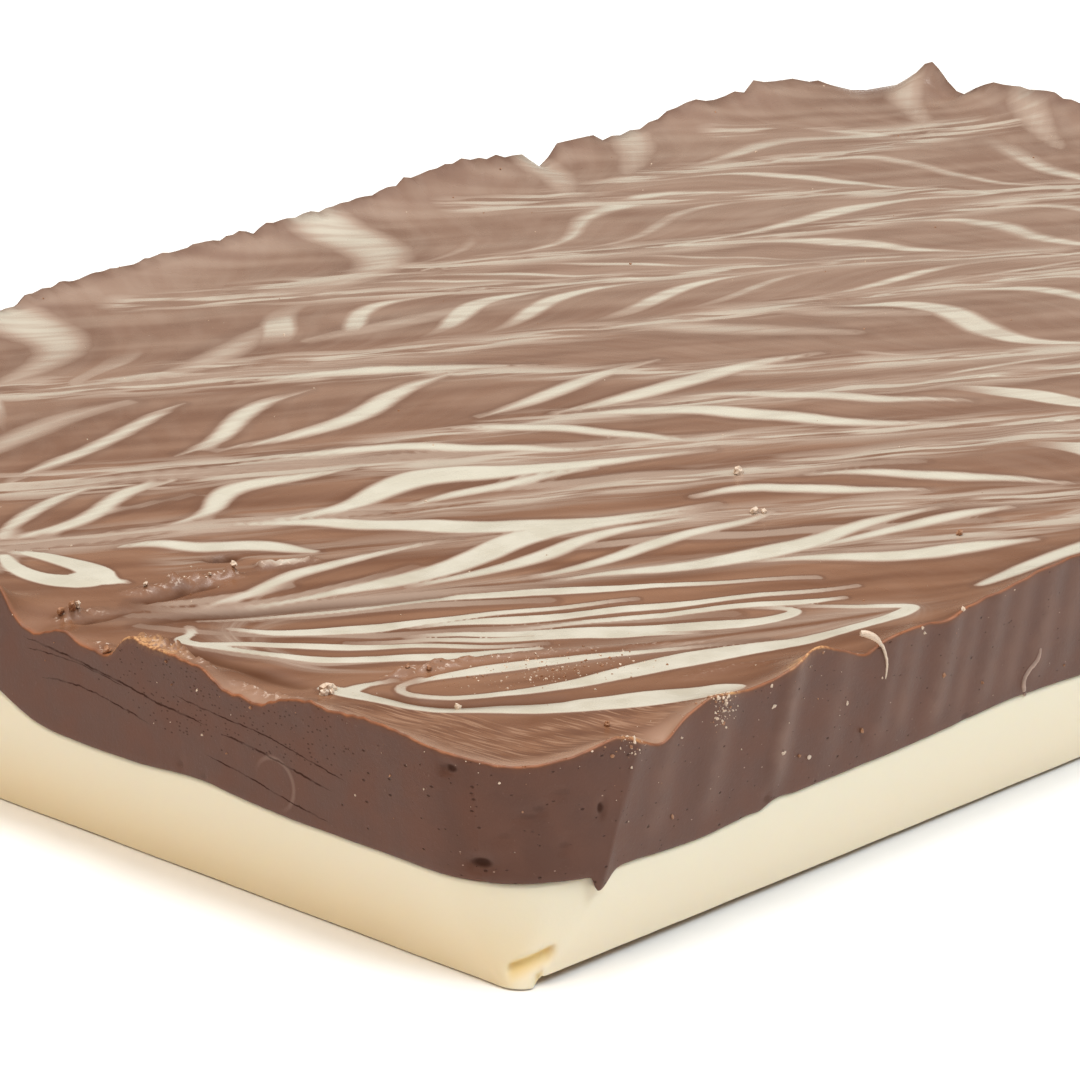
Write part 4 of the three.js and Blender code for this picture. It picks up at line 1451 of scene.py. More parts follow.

# %% [markdown]
# Flaws of the walls
#
# The end wall has cracks, drawn as thin lines of painted shade at heights that follow a curve, and a pale
# ring of bloom. Pits are chosen cells of a Voronoi pattern with painted shade in them. The dents are in the
# mesh already and only need painted shade in their middles.

# %% Cracks and bloom of the end wall
# Half width of each crack and its path: place along the short wall and height
CRACKS = [
    (0.17, [(-7.5, 25.3), (-12.9, 25.1), (-19.3, 24.5), (-28.6, 23.5), (-34.3, 22.6), (-39.3, 22.2),
            (-44.5, 21.6)]),
    (0.17, [(-46.2, 21.3), (-52.0, 21.0), (-57.0, 20.3), (-62.8, 19.4), (-67.5, 18.6)]),
    (0.11, [(-8.5, 23.8), (-14.3, 24.2), (-21.4, 24.0), (-28.6, 23.1)]),
    (0.13, [(-11.4, 20.3), (-16.4, 20.9), (-22.9, 20.8), (-28.6, 19.9), (-33.6, 19.0)]),
    (0.13, [(-43.2, 17.7), (-50.0, 16.9), (-57.1, 15.6), (-62.1, 14.9), (-67.1, 14.2)]),
    (0.12, [(-37.1, 24.5), (-45.7, 23.8), (-52.9, 23.4), (-58.6, 22.7), (-64.3, 21.7), (-70.7, 20.6)]),
]
CRACK_LOW = 10.0
CRACK_HIGH = 30.0
BLOOM_CENTRE = (-56.4, 16.9)
BLOOM_RADIUS = 3.6


def crack(tree, along, height, half_width, path):
    """A line of painted shade whose height follows a curve along the wall and whose ends run out."""
    start, end = path[0][0], path[-1][0]
    span = CRACK_HIGH - CRACK_LOW
    share = ease_line(tree, along, start, end)
    knots = [((at - start) / (end - start), (z - CRACK_LOW) / span) for at, z in path]
    middle = reckon(tree, "MULTIPLY_ADD", curve_through(tree, share, knots, "AUTO"), span, CRACK_LOW)
    away = reckon(tree, "ABSOLUTE", reckon(tree, "SUBTRACT", height, middle))
    ends = product(tree, share, reckon(tree, "SUBTRACT", 1.0, share))
    reach = product(tree, ease(tree, ends, 0.0, 0.12), half_width)
    return ease(tree, away, reckon(tree, "MULTIPLY_ADD", reach, 1.2, 0.001), product(tree, reach, 0.5))


def cracks(tree, place, y, z):
    """All cracks of the short wall."""
    jitter = noise(tree, place, 1.4, detail=2.0)
    height = reckon(tree, "MULTIPLY_ADD", reckon(tree, "SUBTRACT", jitter, 0.5), 0.5, z)
    total = 0.0
    for half_width, path in CRACKS:
        total = larger(tree, total, crack(tree, y, height, half_width, path))
    return total


def bloom_ring(tree, y, z):
    """A pale ring where fat bloomed out of the wall, open below."""
    ring_y = reckon(tree, "SUBTRACT", y, BLOOM_CENTRE[0])
    ring_z = reckon(tree, "SUBTRACT", z, BLOOM_CENTRE[1])
    squares = reckon(tree, "ADD", product(tree, ring_y, ring_y), product(tree, ring_z, ring_z))
    away = reckon(tree, "ABSOLUTE", reckon(tree, "SUBTRACT", reckon(tree, "SQRT", squares), BLOOM_RADIUS))
    ring = product(tree, ease(tree, away, 0.5, 0.05), 0.35)
    return product(tree, ring, ease(tree, reckon(tree, "SUBTRACT", ring_z, ring_y), -3.5, 3.0))


print(f"{len(CRACKS)} cracks and a ring of bloom")

# %% Pits and dents
SIDE_DEPTH = 10
PIT_SHADE = 0.6
DARKEST_DENT = 0.85


def pits(tree, place, size, radius, most):
    """Small hollows: a share of the cells of a Voronoi pattern, longer along the wall than up it."""
    feeds = {0: place, 1: (1.0, 1.0, 1.7)}
    flat = add_node(tree, "ShaderNodeVectorMath", feeds, operation="MULTIPLY").outputs[0]
    cells = add_node(tree, "ShaderNodeTexVoronoi", {"Vector": flat, "Scale": 1 / size})
    chosen = add_node(tree, "ShaderNodeSeparateColor", {0: cells.outputs["Color"]}).outputs[0]
    pit = ease(tree, cells.outputs["Distance"], radius / size, 0.5 * radius / size)
    return product(tree, pit, reckon(tree, "LESS_THAN", chosen, most))


def dent_shade(tree, along, z, dents):
    """Painted shade in the middles of the dents of one wall."""
    total = 0.0
    for at, height, half_length, half_height, deep in dents:
        aside = reckon(tree, "MULTIPLY_ADD", along, 1 / half_length, -at / half_length)
        above = reckon(tree, "MULTIPLY_ADD", z, 1 / half_height, -height / half_height)
        away = reckon(tree, "MULTIPLY_ADD", aside, aside, product(tree, above, above))
        total = larger(tree, total, ease(tree, away, 1.3, 0.1, 0.0, min(2.2 * deep ** 2, DARKEST_DENT)))
    return total


def wall_flaws(tree, place, with_cracks):
    """Pits, dents and, on the end wall, cracks: how deep the pits are and how much painted shade lies in it
    all.
    """
    x, y, z = parts(tree, place)
    near_share = ease(tree, reckon(tree, "ADD", x, y), -190.0, -235.0, 0.15, 0.45)
    depth = larger(tree, pits(tree, place, 2.1, 0.32, near_share), pits(tree, place, 1.2, 0.18, 0.3))
    on_short = reckon(tree, "LESS_THAN", x, SIDE_DEPTH - HALF_LENGTH)
    on_long = reckon(tree, "LESS_THAN", y, SIDE_DEPTH - HALF_WIDTH)
    dark = product(tree, depth, PIT_SHADE)
    dark = larger(tree, dark, product(tree, dent_shade(tree, y, z, SHORT_WALL_DENTS), on_short))
    dark = larger(tree, dark, product(tree, dent_shade(tree, x, z, LONG_WALL_DENTS), on_long))
    if with_cracks:
        under_crag = product(tree, ease(tree, y, -22.0, -36.0, 0.0, 0.5), ease(tree, y, -74.0, -56.0))
        under_crag = product(tree, under_crag, ease(tree, z, 18.5, 24.0))
        dark = larger(tree, dark, product(tree, pits(tree, place, 0.8, 0.27, under_crag), PIT_SHADE))
        broken = ease(tree, noise(tree, place, 2.5, detail=2.0), 0.35, 0.6, 0.4, 0.9)
        dark = larger(tree, dark, product(tree, cracks(tree, place, y, z), broken))
    return depth, dark


print(f"{len(SHORT_WALL_DENTS) + len(LONG_WALL_DENTS)} dents get dark middles")

# %% [markdown]
# Walls and top
#
# Each finish starts from two browns that a soft noise mixes, and lays the other colours over them one by
# one: the share of a blend says where a colour shows. The crest has one recipe for walls and top, so that
# no seam shows there.

# %% Finish of the walls
SHEEN = 0.35
GRAIN_DEPTH = 0.15
WALL_BROWNS = (srgb(90, 57, 44), srgb(99, 64, 50))
END_WALL_BROWNS = (srgb(89, 55, 41), srgb(98, 61, 46))
PLEAT_SHEEN_PAINT = srgb(136, 108, 95)
GRAIN_PALE = srgb(150, 120, 104)
GRAIN_DARK = srgb(58, 34, 25)
BLOOM = srgb(150, 122, 108)
FLAW_SHADE_PAINT = srgb(40, 22, 15)
SPECK_PALE = srgb(196, 166, 146)
CREST_GLOW = srgb(152, 94, 59)
FAR_CREST = srgb(92, 58, 42)
BRUSHED_PALE = srgb(208, 158, 108)


def crest_colour(tree, place, colour):
    """Uneven warm brown line along the crest, where light comes through, with pale brushed places."""
    share = ease(tree, noise(tree, place, 3.0, detail=2.0), 0.3, 0.65, 0.5, 1.0)
    glow = blend(tree, carried(tree, "far"), CREST_GLOW, FAR_CREST)
    colour = blend(tree, product(tree, carried(tree, "crest"), share), colour, glow)
    brush = ease(tree, noise(tree, place, 0.6, detail=2.0), 0.4, 0.58, 0.15, 0.95)
    return blend(tree, product(tree, carried(tree, "brushed"), brush), colour, BRUSHED_PALE)


def feed_shader(tree, shader, colour, roughness, sheen):
    shader.inputs["Specular IOR Level"].default_value = SHEEN
    tree.links.new(colour, shader.inputs["Base Color"])
    tree.links.new(roughness, shader.inputs["Roughness"])
    tree.links.new(sheen, shader.inputs["Specular IOR Level"])


def wall_finish(name, with_cracks):
    """Grey brown with painted sheen on the pleats, painted shade in pits and dents and, on the end wall,
    cracks, and a ring of bloom.
    """
    material, tree, shader, place = start_finish(name)
    _, y, z = parts(tree, place)
    mottle = noise(tree, place, 5.0, detail=4.0)
    grain = noise(tree, place, 0.55, detail=4.0, rough=0.7)
    depth, dark = wall_flaws(tree, place, with_cracks)
    colour = blend(tree, ease(tree, mottle, 0.3, 0.7), *(END_WALL_BROWNS if with_cracks else WALL_BROWNS))
    # Painted sheen: the pleats' ridges are blended to a paler grey brown where light would catch them.
    ridge = product(tree, carried(tree, "ridge"), ease(tree, mottle, 0.3, 0.7, 0.25, 0.58))
    colour = blend(tree, ridge, colour, PLEAT_SHEEN_PAINT)
    colour = blend(tree, ease(tree, grain, 0.62, 0.8, 0.0, 0.3), colour, GRAIN_PALE)
    colour = blend(tree, ease(tree, grain, 0.36, 0.2, 0.0, 0.4), colour, GRAIN_DARK)
    if with_cracks:
        colour = blend(tree, bloom_ring(tree, y, z), colour, BLOOM)
    # Painted shade in the pits, the dents' middles and the end wall's cracks.
    colour = blend(tree, product(tree, dark, 0.85), colour, FLAW_SHADE_PAINT)
    colour = blend(tree, product(tree, pits(tree, place, 1.7, 0.17, 0.22), 0.55), colour, SPECK_PALE)
    roughness = ease(tree, mottle, 0.3, 0.7, 0.4, 0.55)
    sheen = ease(tree, dark, 0.0, 1.0, SHEEN, 0.05)
    feed_shader(tree, shader, crest_colour(tree, place, colour), roughness, sheen)
    relief = reckon(tree, "SUBTRACT", product(tree, grain, 0.5), product(tree, depth, 1.2))
    add_bump(tree, shader, relief, 0.8, GRAIN_DEPTH)
    return material


wall_brown = wall_finish("chocolate_wall", False)
end_brown = wall_finish("chocolate_end_wall", True)
for material in (wall_brown, end_brown):
    print(f"{material.name}: {len(material.node_tree.nodes)} nodes")

# %% Finish of the marbled top
TOP_BROWNS = (srgb(109, 66, 38), srgb(139, 97, 70))
FAR_SHEEN_PAINT = srgb(129, 97, 80)
BESIDE_STRAND = srgb(96, 57, 34)
STRAND_CREAMS = (srgb(190, 181, 163), srgb(203, 196, 181))
MILKY_STRAND = srgb(212, 207, 190)
COMB_DARK = srgb(98, 58, 36)
COMB_PALE = srgb(172, 134, 108)
TAN = srgb(167, 143, 126)
TORN_GLINT_PAINT = srgb(214, 192, 176)
HOLLOW_SHADE_PAINT = srgb(70, 40, 24)
LIP_PALE = srgb(180, 146, 124)


def drawn_streaks(tree, place, fineness, detail):
    """Long streaks that run with the strokes."""
    runs = []
    for way, share in ((ALONG, 0.1 * fineness), (ACROSS, fineness)):
        feeds = {0: place, 1: (*way.tolist(), 0.0)}
        run = add_node(tree, "ShaderNodeVectorMath", feeds, operation="DOT_PRODUCT").outputs["Value"]
        runs.append(product(tree, run, share))
    return streaky_noise(tree, *runs, detail)


def comb_marks(tree, place):
    """Fine marks along the short wall, where the wet top was drawn to the near corner; 0.5 elsewhere."""
    x, y, _ = parts(tree, place)
    from_short = reckon(tree, "ADD", x, HALF_LENGTH)
    from_long = reckon(tree, "ADD", y, HALF_WIDTH)
    inwards = reckon(tree, "SMOOTH_MIN", from_short, from_long, 12.0)
    across = product(tree, reckon(tree, "MULTIPLY_ADD", y, 0.12, x), 2.0)
    marks = streaky_noise(tree, across, product(tree, y, 0.16), 2.0)
    near = ease(tree, reckon(tree, "ADD", x, y), -196.0, -210.0)
    near = product(tree, near, ease(tree, inwards, 17.0, 13.0))
    near = product(tree, near, ease(tree, inwards, 2.0, 5.0))
    return reckon(tree, "MULTIPLY_ADD", reckon(tree, "SUBTRACT", marks, 0.5), near, 0.5)


def top_finish(name):
    """Milk brown, streaky where drawn out, with cream strands; painted sheen far off, painted glints on torn
    ridges, painted shade in hollows.
    """
    material, tree, shader, place = start_finish(name)
    mottle = noise(tree, place, 7.0, detail=3.0)
    grain = noise(tree, place, 0.7, detail=3.0, rough=0.6)
    drawn = drawn_streaks(tree, place, 0.17, 1.5)
    combed = comb_marks(tree, place)
    share, streak = cream_share(tree, drawn, drawn_streaks(tree, place, 0.5, 2.0))
    rough_place = carried(tree, "torn")
    hollow = carried(tree, "hollow")
    brown = blend(tree, ease(tree, drawn, 0.3, 0.7), *TOP_BROWNS)
    # Painted sheen: away from the near corner the brown is blended to a paler, greyer brown.
    brown = blend(tree, product(tree, carried(tree, "far"), 0.6), brown, FAR_SHEEN_PAINT)
    brown = blend(tree, ease(tree, carried(tree, "laid"), -5.5, -1.5, 0.0, 0.45), brown, BESIDE_STRAND)
    brown = blend(tree, ease(tree, combed, 0.48, 0.4, 0.0, 0.55), brown, COMB_DARK)
    brown = blend(tree, ease(tree, combed, 0.53, 0.62, 0.0, 0.5), brown, COMB_PALE)
    strand = blend(tree, ease(tree, mottle, 0.3, 0.7), *STRAND_CREAMS)
    strand = blend(tree, carried(tree, "milky"), strand, MILKY_STRAND)
    tan = blend(tree, ease_line(tree, share, 0.0, 0.5), brown, TAN)
    colour = blend(tree, ease_line(tree, share, 0.5, 1.0), tan, strand)
    # Painted glints: pale flecks on the torn ridges where light would glint.
    glint_share = product(tree, ease(tree, grain, 0.56, 0.66), rough_place)
    colour = blend(tree, product(tree, glint_share, 0.65), colour, TORN_GLINT_PAINT)
    # Painted shade in the hollows.
    colour = blend(tree, product(tree, hollow, 0.8), colour, HOLLOW_SHADE_PAINT)
    colour = blend(tree, product(tree, carried(tree, "lip"), 0.7), colour, LIP_PALE)
    roughness = ease(tree, mottle, 0.3, 0.7, 0.22, 0.34)
    roughness = reckon(tree, "MULTIPLY_ADD", rough_place, 0.16, roughness)
    roughness = reckon(tree, "MULTIPLY_ADD", hollow, 0.25, roughness)
    sheen = ease(tree, hollow, 0.0, 0.8, SHEEN, 0.08)
    feed_shader(tree, shader, crest_colour(tree, place, colour), roughness, sheen)
    relief = reckon(tree, "MULTIPLY_ADD", streak, 0.15, product(tree, grain, 0.35))
    add_bump(tree, shader, reckon(tree, "MULTIPLY_ADD", combed, 0.8, relief), 0.6, GRAIN_DEPTH)
    return material


top_marble = top_finish("chocolate_top")
run_tree(chocolate, relief_tree, {
    "Lump scale": 0.14 / MM, "Lump depth": 0.25 * MM, "Grain scale": 0.7 / MM, "Grain depth": 0.07 * MM,
    "Material": wall_brown, "Top material": top_marble, "End wall material": end_brown,
})
print("chocolate:", {material.name: len(material.node_tree.nodes) for material in chocolate.data.materials})

# %% [markdown]
# Finish of the cream
#
# The cream is a soft ivory that lets a little light in, so its edges glow. It is a touch yellower towards
# the base. Its long wall is painted paler and cooler, as painted light from the window on that side, and its
# undercut is painted brown, as painted shade in the gap under the base.

# %% Cream finish
LOW_CREAMS = (srgb(232, 211, 173), srgb(235, 217, 182))
LONG_WALL_LIGHT_PAINT = srgb(240, 224, 196)
HIGH_CREAM = srgb(235, 225, 201)
NICK_YELLOW = srgb(238, 205, 130)
UNDERSIDE_SHADE_PAINT = srgb(172, 138, 84)

cream_fudge, tree, shader, place = start_finish("cream_fudge")
_, across, up = parts(tree, place)
low_colour = blend(tree, noise(tree, place, 18.0), *LOW_CREAMS)
# Painted light: the long wall's cream is paler and cooler, as the window lights that side.
long_wall_light = ease(tree, across, 3 - HALF_WIDTH, 1 - HALF_WIDTH)
low_colour = blend(tree, long_wall_light, low_colour, LONG_WALL_LIGHT_PAINT)
cream_colour = blend(tree, ease(tree, up, 0.0, 13.0), low_colour, HIGH_CREAM)
cream_colour = blend(tree, product(tree, carried(tree, "nicked"), 0.9), cream_colour, NICK_YELLOW)
# Painted shade: the undercut is brown, as the shade in the gap between base and table.
cream_colour = blend(tree, carried(tree, "under"), cream_colour, UNDERSIDE_SHADE_PAINT)
tree.links.new(cream_colour, shader.inputs["Base Color"])
shader.inputs["Roughness"].default_value = 0.5
shader.inputs["Subsurface Weight"].default_value = 0.25
shader.inputs["Subsurface Radius"].default_value = (1.0, 0.75, 0.4)
shader.inputs["Subsurface Scale"].default_value = 1.5 * MM
add_bump(tree, shader, noise(tree, place, 0.6, detail=4.0), 0.15, 0.1)
run_tree(cream, relief_tree, {
    "Lump scale": 0.08 / MM, "Lump depth": 0.2 * MM, "Grain scale": 0.5 / MM, "Grain depth": 0.03 * MM,
    "Material": cream_fudge, "Top material": cream_fudge, "End wall material": cream_fudge,
})
print(f"{cream_fudge.name}: {len(tree.nodes)} nodes")

# %% [markdown]
# Dust and crumbs
#
# Handling left fine dust on the walls and the rim and a few larger crumbs. Dust follows the surface by a
# rule, so Geometry Nodes scatter points on the skin as densely as its dust value says and put a small lumpy
# ball on each. Inside the corner loop on the top the pale grains stand in for glints: painted glints. The
# larger crumbs lie at places of their own: they are single points with a size, and the same ball is put on
# them.

# %% Lumpy balls on points
FULL_TURN = 6.28
BALL_STRETCH = (0.6, 1.3)


def lumpy_ball(tree):
    """A ball of radius 1 with noise on it, in Geometry Nodes."""
    ball = add_node(tree, "GeometryNodeMeshIcoSphere", {"Radius": 1.0, "Subdivisions": 2}).outputs["Mesh"]
    place = add_node(tree, "GeometryNodeInputPosition").outputs[0]
    lumps = add_node(tree, "ShaderNodeTexNoise", {"Vector": place, "Scale": 1.3, "Detail": 1.0}).outputs[0]
    moved = scaled(tree, place, reckon(tree, "MULTIPLY_ADD", lumps, 1.8, 0.1))
    return add_node(tree, "GeometryNodeSetPosition", {"Geometry": ball, "Position": moved}).outputs[0]


def random_vector(tree, low, high, seed):
    feeds = {0: (low,) * 3, 1: (high,) * 3, "Seed": seed}
    return add_node(tree, "FunctionNodeRandomValue", feeds, data_type="FLOAT_VECTOR").outputs[0]


def put_balls(tree, points, size, seed, material, group_output):
    """A lumpy ball of its own size, turn and stretch on each point, made real and given its material."""
    turn = random_vector(tree, 0.0, FULL_TURN, seed)
    scale = scaled(tree, random_vector(tree, *BALL_STRETCH, seed), size)
    feeds = {"Points": points, "Instance": lumpy_ball(tree), "Rotation": turn, "Scale": scale}
    balls = add_node(tree, "GeometryNodeInstanceOnPoints", feeds).outputs[0]
    tree.links.new(made_real(tree, balls, material), group_output)


crumb_tree = bpy.data.node_groups.new("crumbs", "GeometryNodeTree")
crumb_in, crumb_out = group_inputs(crumb_tree, {"Seed": INT, "Material": MATERIAL})
crumb_points = add_node(crumb_tree, "GeometryNodeMeshToPoints", {"Mesh": crumb_in["Geometry"]}).outputs[0]
crumb_size = named_value(crumb_tree, "size", "FLOAT")
put_balls(crumb_tree, crumb_points, crumb_size, crumb_in["Seed"], crumb_in["Material"], crumb_out)
print(f"crumbs: {len(crumb_tree.nodes)} nodes")

# %% A node tree for dust
dust_tree = bpy.data.node_groups.new("dust_and_glints", "GeometryNodeTree")
dust_in, dust_out = group_inputs(dust_tree, {
    "Density": FLOAT, "Least size": FLOAT, "Most size": FLOAT, "Seed": INT, "Material": MATERIAL,
})
density = product(dust_tree, named_value(dust_tree, "dust_and_glints", "FLOAT"), dust_in["Density"])
dust_feeds = {"Mesh": dust_in["Geometry"], "Density": density, "Seed": dust_in["Seed"]}
dust_points = add_node(dust_tree, "GeometryNodeDistributePointsOnFaces", dust_feeds).outputs["Points"]
chance_feeds = {2: 0.0, 3: 1.0, "Seed": dust_in["Seed"]}
chance = add_node(dust_tree, "FunctionNodeRandomValue", chance_feeds, data_type="FLOAT").outputs[1]
bigger = reckon(dust_tree, "POWER", chance, 3.0)
size_range = reckon(dust_tree, "SUBTRACT", dust_in["Most size"], dust_in["Least size"])
dust_size = reckon(dust_tree, "MULTIPLY_ADD", bigger, size_range, dust_in["Least size"])
put_balls(dust_tree, dust_points, dust_size, dust_in["Seed"], dust_in["Material"], dust_out)
print(f"dust: {len(dust_tree.nodes)} nodes")

# %% Finishes of the crumbs
def crumb_finish(name, dark, light):
    material, tree, shader, place = start_finish(name)
    tree.links.new(blend(tree, noise(tree, place, 0.5), dark, light), shader.inputs["Base Color"])
    shader.inputs["Roughness"].default_value = 0.45
    return material


pale_crumb = crumb_finish("pale_crumb", srgb(198, 166, 140), srgb(234, 216, 196))
brown_crumb = crumb_finish("brown_crumb", srgb(132, 86, 58), srgb(182, 132, 96))
print("two crumb finishes")

# %% Scatter the dust
BALL_FACES = 80
WALL_DUST = 0.007
RIM_DUST = 0.06
RIM_DUST_REACH = 2.0
TOP_DUST = 0.002
CORNER_DUST_REACH = 70
MOST_DUST = 8
# Place, dust per square millimetre and reach of the dusty spots; the pale grains of the three spots
# inside the corner loop are painted glints
DUST_AND_GLINT_SPOTS = [
    (-124, -67.5, 1.3, 4), (-116, -70.5, 1.9, 5), (-108, -75, 1.3, 4.5), (-140, -57, 0.5, 2.5),
    (-113, -100, 8.0, 1.7), (-131, -100, 4.0, 1.3), (-122, -12.5, 0.5, 3.5), (-84, -98, 0.3, 2),
]

skin = np.empty(len(chocolate.data.vertices) * 3, np.float32)
chocolate.data.vertices.foreach_get("co", skin)
skin = skin.reshape(-1, 3) / MM
in_top = np.arange(len(skin)) < len(top_points)
clipped_x = np.clip(skin[:, 0], -HALF_LENGTH, HALF_LENGTH)
clipped_y = np.clip(skin[:, 1], -HALF_WIDTH, HALF_WIDTH)
under_rim = np.maximum(rim_height(clipped_x, clipped_y) - skin[:, 2], 0)
corner_away = np.hypot(skin[:, 0] + HALF_LENGTH, skin[:, 1] + HALF_WIDTH)
wall_dust = WALL_DUST + RIM_DUST * np.exp(-under_rim / RIM_DUST_REACH)
wall_dust = wall_dust * (0.25 + 1.5 * np.exp(-corner_away / CORNER_DUST_REACH))
dust_and_glints = np.where(in_top, TOP_DUST, wall_dust)
# Dust, and painted glints: pale grains at the spots inside the corner loop stand in for glints.
spots = np.clip(bells(DUST_AND_GLINT_SPOTS, skin[:, 0], skin[:, 1]), 0, MOST_DUST)
dust_and_glints += spots * smooth_step(skin[:, 2], 25, 28.5)
dust_and_glints[skin[:, 2] < LAYER_LINE + 2] = 0


def scatter(name, density, least, most, seed, material):
    piece = bpy.data.objects.new(name, chocolate.data.copy())
    bpy.context.scene.collection.objects.link(piece)
    stored = piece.data.attributes.new("dust_and_glints", "FLOAT", "POINT")
    stored.data.foreach_set("value", dust_and_glints.astype(np.float32))
    run_tree(piece, dust_tree, {
        "Density": density / MM ** 2, "Least size": least * MM, "Most size": most * MM,
        "Seed": seed, "Material": material,
    })
    return piece


pale_dust_and_glints = scatter("pale_dust_and_glints", 0.9, 0.05, 0.2, 3, pale_crumb)
brown_dust = scatter("brown_dust", 0.5, 0.06, 0.26, 7, brown_crumb)
for piece in (pale_dust_and_glints, brown_dust):
    print(f"{piece.name}: {len(piece.data.polygons) // BALL_FACES} grains")

# %% Lay the larger crumbs
# Places on the long wall (x, z), on the top (x, y), and sizes
PALE_ON_WALL = [
    (-102.8, 25.9, 0.36), (-88.4, 22.5, 0.24), (-101.9, 19.8, 0.3), (-101.4, 19.2, 0.2),
    (-95.8, 16.8, 0.26), (-73.1, 29.1, 0.3), (-72.6, 28.5, 0.22), (-64.9, 30.5, 0.3), (-130.9, 28.8, 0.26),
    (-130.2, 29.5, 0.28), (-131.4, 28.1, 0.18), (-113.9, 30.1, 0.26), (-112.4, 29.3, 0.26),
    (-113.1, 28.5, 0.22), (-114.6, 28.1, 0.16), (-112.0, 30.0, 0.22), (-120.7, 26.7, 0.2),
]
BROWN_ON_WALL = [
    (-85.3, 17.7, 0.36), (-97.7, 17.7, 0.3), (-68.9, 21.5, 0.32), (-60.5, 18.2, 0.3), (-122.5, 16.1, 0.3),
    (-134.2, 27.9, 0.3),
]
PALE_ON_TOP = [
    (-141.4, -56.6, 0.9), (-140.3, -56.9, 0.6), (-142.2, -57.2, 0.5), (-141.0, -57.6, 0.4),
    (-133.0, -72.6, 0.42), (-129.6, -10.2, 0.35), (-120.8, -13.4, 0.35), (-117.3, -14.8, 0.45),
    (-143.4, -11.4, 0.5), (-37.3, -35.9, 0.6), (-48.4, -48.9, 0.55), (-47.0, -49.6, 0.45),
]
BROWN_ON_TOP = [
    (-124.6, -91.4, 0.45), (-145.2, -10.6, 0.7), (-144.4, -11.1, 0.85), (-149.6, -23.6, 0.6),
    (-125.5, -60.2, 0.4), (-128.3, -58.8, 0.4), (-35.3, -76.4, 0.45),
]
LONG_WALL_START = -95

near_wall = skin[~in_top & (skin[:, 1] < LONG_WALL_START)]
top_skin = skin[in_top]


def nearest(points, axes, place):
    """The point that is nearest to a place, seen along the third axis."""
    first, second = axes
    return points[np.hypot(points[:, first] - place[0], points[:, second] - place[1]).argmin()]


def lay_crumbs(name, on_wall, on_top, seed, material):
    spots = [nearest(near_wall, (0, 2), (x, z)) for x, z, _ in on_wall]
    spots += [nearest(top_skin, (0, 1), (x, y)) + (0, 0, 0.5 * size) for x, y, size in on_top]
    sizes = np.array([size for _, _, size in on_wall + on_top])
    piece = make_piece(name, np.array(spots), [np.zeros((0, 3), int)], {"size": sizes * MM})
    run_tree(piece, crumb_tree, {"Seed": seed, "Material": material})
    return piece


pale_crumbs = lay_crumbs("pale_crumbs", PALE_ON_WALL, PALE_ON_TOP, 5, pale_crumb)
brown_crumbs = lay_crumbs("brown_crumbs", BROWN_ON_WALL, BROWN_ON_TOP, 9, brown_crumb)
for piece in (pale_crumbs, brown_crumbs):
    print(f"{piece.name}: {len(piece.data.polygons) // BALL_FACES} crumbs")

# %% [markdown]
# Curl and smear
#
# The knife left a curl of cream hanging over the long rim and a smear lower down the wall. Each follows a
# path over the wall, so a Geometry Nodes tree sweeps a circle along it, as wide as each point of the
# path says.

# %% A node tree that sweeps along a path
sweep_tree = bpy.data.node_groups.new("sweep", "GeometryNodeTree")
sweep_in, sweep_out = group_inputs(sweep_tree, {"Sides": INT, "Material": MATERIAL})
sweep_path = add_node(sweep_tree, "GeometryNodeMeshToCurve", {"Mesh": sweep_in["Geometry"]}).outputs[0]
half_width = named_value(sweep_tree, "half_width", "FLOAT")
oval_feeds = {"Resolution": sweep_in["Sides"], "Radius": 1.0}
oval = add_node(sweep_tree, "GeometryNodeCurvePrimitiveCircle", oval_feeds).outputs[0]
sweep_feeds = {"Curve": sweep_path, "Profile Curve": oval, "Scale": half_width, "Fill Caps": True}
swept = add_node(sweep_tree, "GeometryNodeCurveToMesh", sweep_feeds).outputs[0]
sweep_tree.links.new(made_real(sweep_tree, swept, sweep_in["Material"]), sweep_out)
print(f"{sweep_tree.name}: {len(sweep_tree.nodes)} nodes")

# %% Curl over the rim and smear on the wall
SWEEP_SIDES = 10
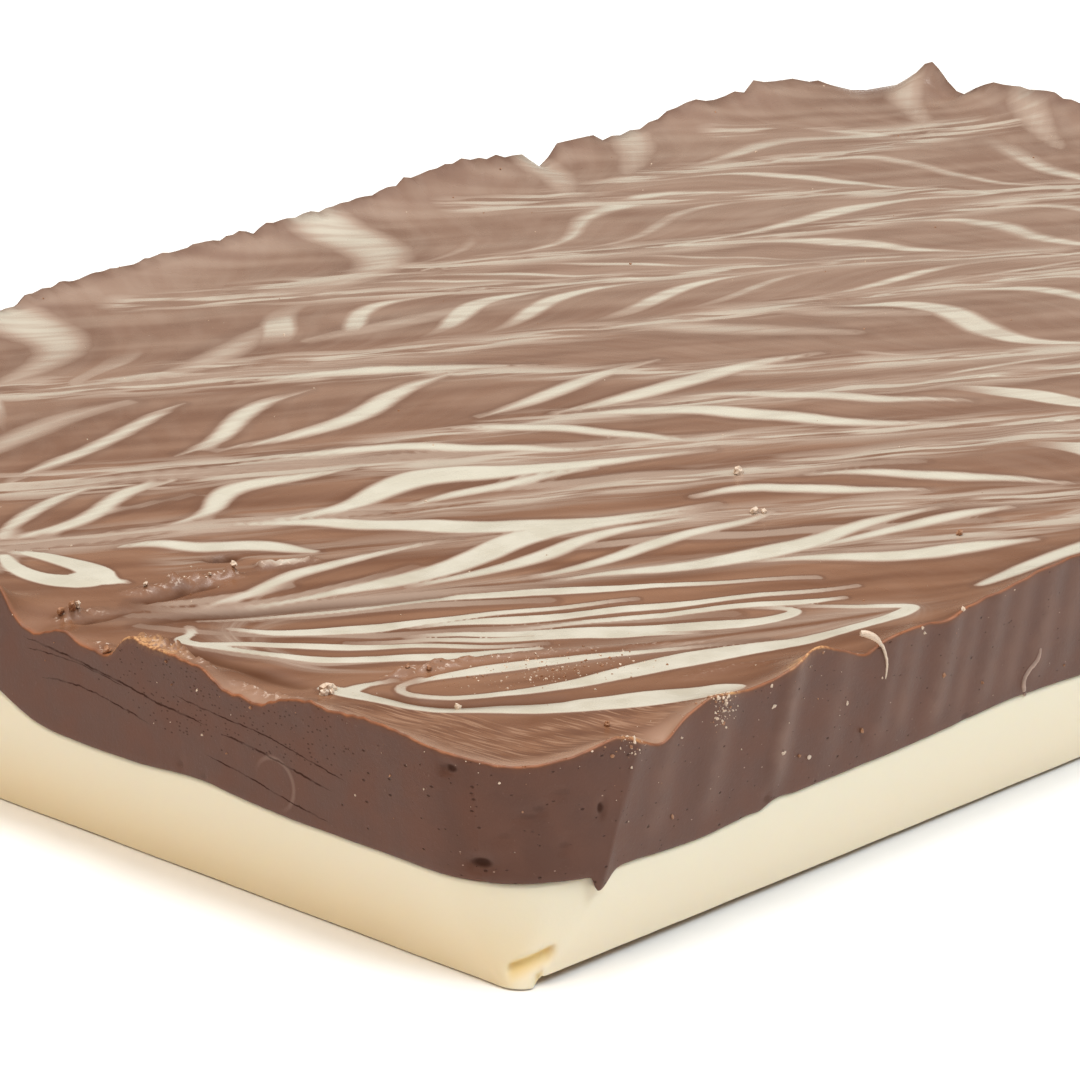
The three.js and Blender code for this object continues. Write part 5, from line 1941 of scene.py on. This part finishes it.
# Place along the long wall, height, distance in front of the wall and half width
CURL = [
    (-84.4, 31.0, -0.9, 0.4), (-83.6, 30.8, -0.3, 0.5), (-82.7, 30.2, 0.25, 0.48), (-81.9, 29.4, 0.3, 0.3),
    (-81.1, 28.3, 0.15, 0.22), (-80.6, 27.1, 0.08, 0.2), (-80.4, 26.0, 0.02, 0.18),
    (-80.5, 24.8, -0.04, 0.15), (-80.7, 23.5, -0.1, 0.1),
]
SMEAR = [
    (-48.2, 19.6, -0.1, 0.22), (-48.5, 18.6, -0.05, 0.32), (-49.2, 17.8, -0.05, 0.34),
    (-50.4, 17.0, -0.05, 0.34), (-51.2, 16.0, -0.05, 0.36), (-51.3, 14.9, -0.05, 0.38),
    (-50.8, 13.9, -0.05, 0.34), (-50.2, 13.1, -0.1, 0.2),
]


def sweep(name, path, material):
    smooth = round_off(path, 2)
    depths = np.array([nearest(near_wall, (0, 2), (x, z))[1] for x, z, _, _ in smooth])
    places = np.stack([smooth[:, 0], depths - smooth[:, 2], smooth[:, 1]], 1)
    mesh = bpy.data.meshes.new(name)
    mesh.from_pydata((places * MM).tolist(), [(n, n + 1) for n in range(len(places) - 1)], [])
    stored = mesh.attributes.new("half_width", "FLOAT", "POINT")
    stored.data.foreach_set("value", (smooth[:, 3] * MM).astype(np.float32))
    piece = bpy.data.objects.new(name, mesh)
    bpy.context.scene.collection.objects.link(piece)
    run_tree(piece, sweep_tree, {"Sides": SWEEP_SIDES, "Material": material})
    piece.data.shade_smooth()
    return piece


smear_finish = crumb_finish("cream_smear", srgb(150, 122, 108), srgb(178, 150, 134))
curl = sweep("cream_curl", CURL, pale_crumb)
smear = sweep("cream_smear", SMEAR, smear_finish)
print(f"curl {len(curl.data.polygons)} and smear {len(smear.data.polygons)} faces")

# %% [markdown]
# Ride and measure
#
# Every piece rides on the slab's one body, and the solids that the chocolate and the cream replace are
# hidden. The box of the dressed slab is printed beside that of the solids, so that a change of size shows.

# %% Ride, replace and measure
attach(chocolate, "root")
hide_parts("chocolate_layer")
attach(cream, "root")
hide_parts("cream_layer")
for piece in (pale_dust_and_glints, pale_crumbs, curl, smear):
    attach(piece, "root")
for piece in (brown_dust, brown_crumbs):
    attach(piece, "root")

visual_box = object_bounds()
boxes = {"cad": [list(corner) for corner in cad_box], "visual": [list(corner) for corner in visual_box]}
for name, (low, high) in boxes.items():
    print(name, [round(c / MM, 2) for c in low], [round(c / MM, 2) for c in high])
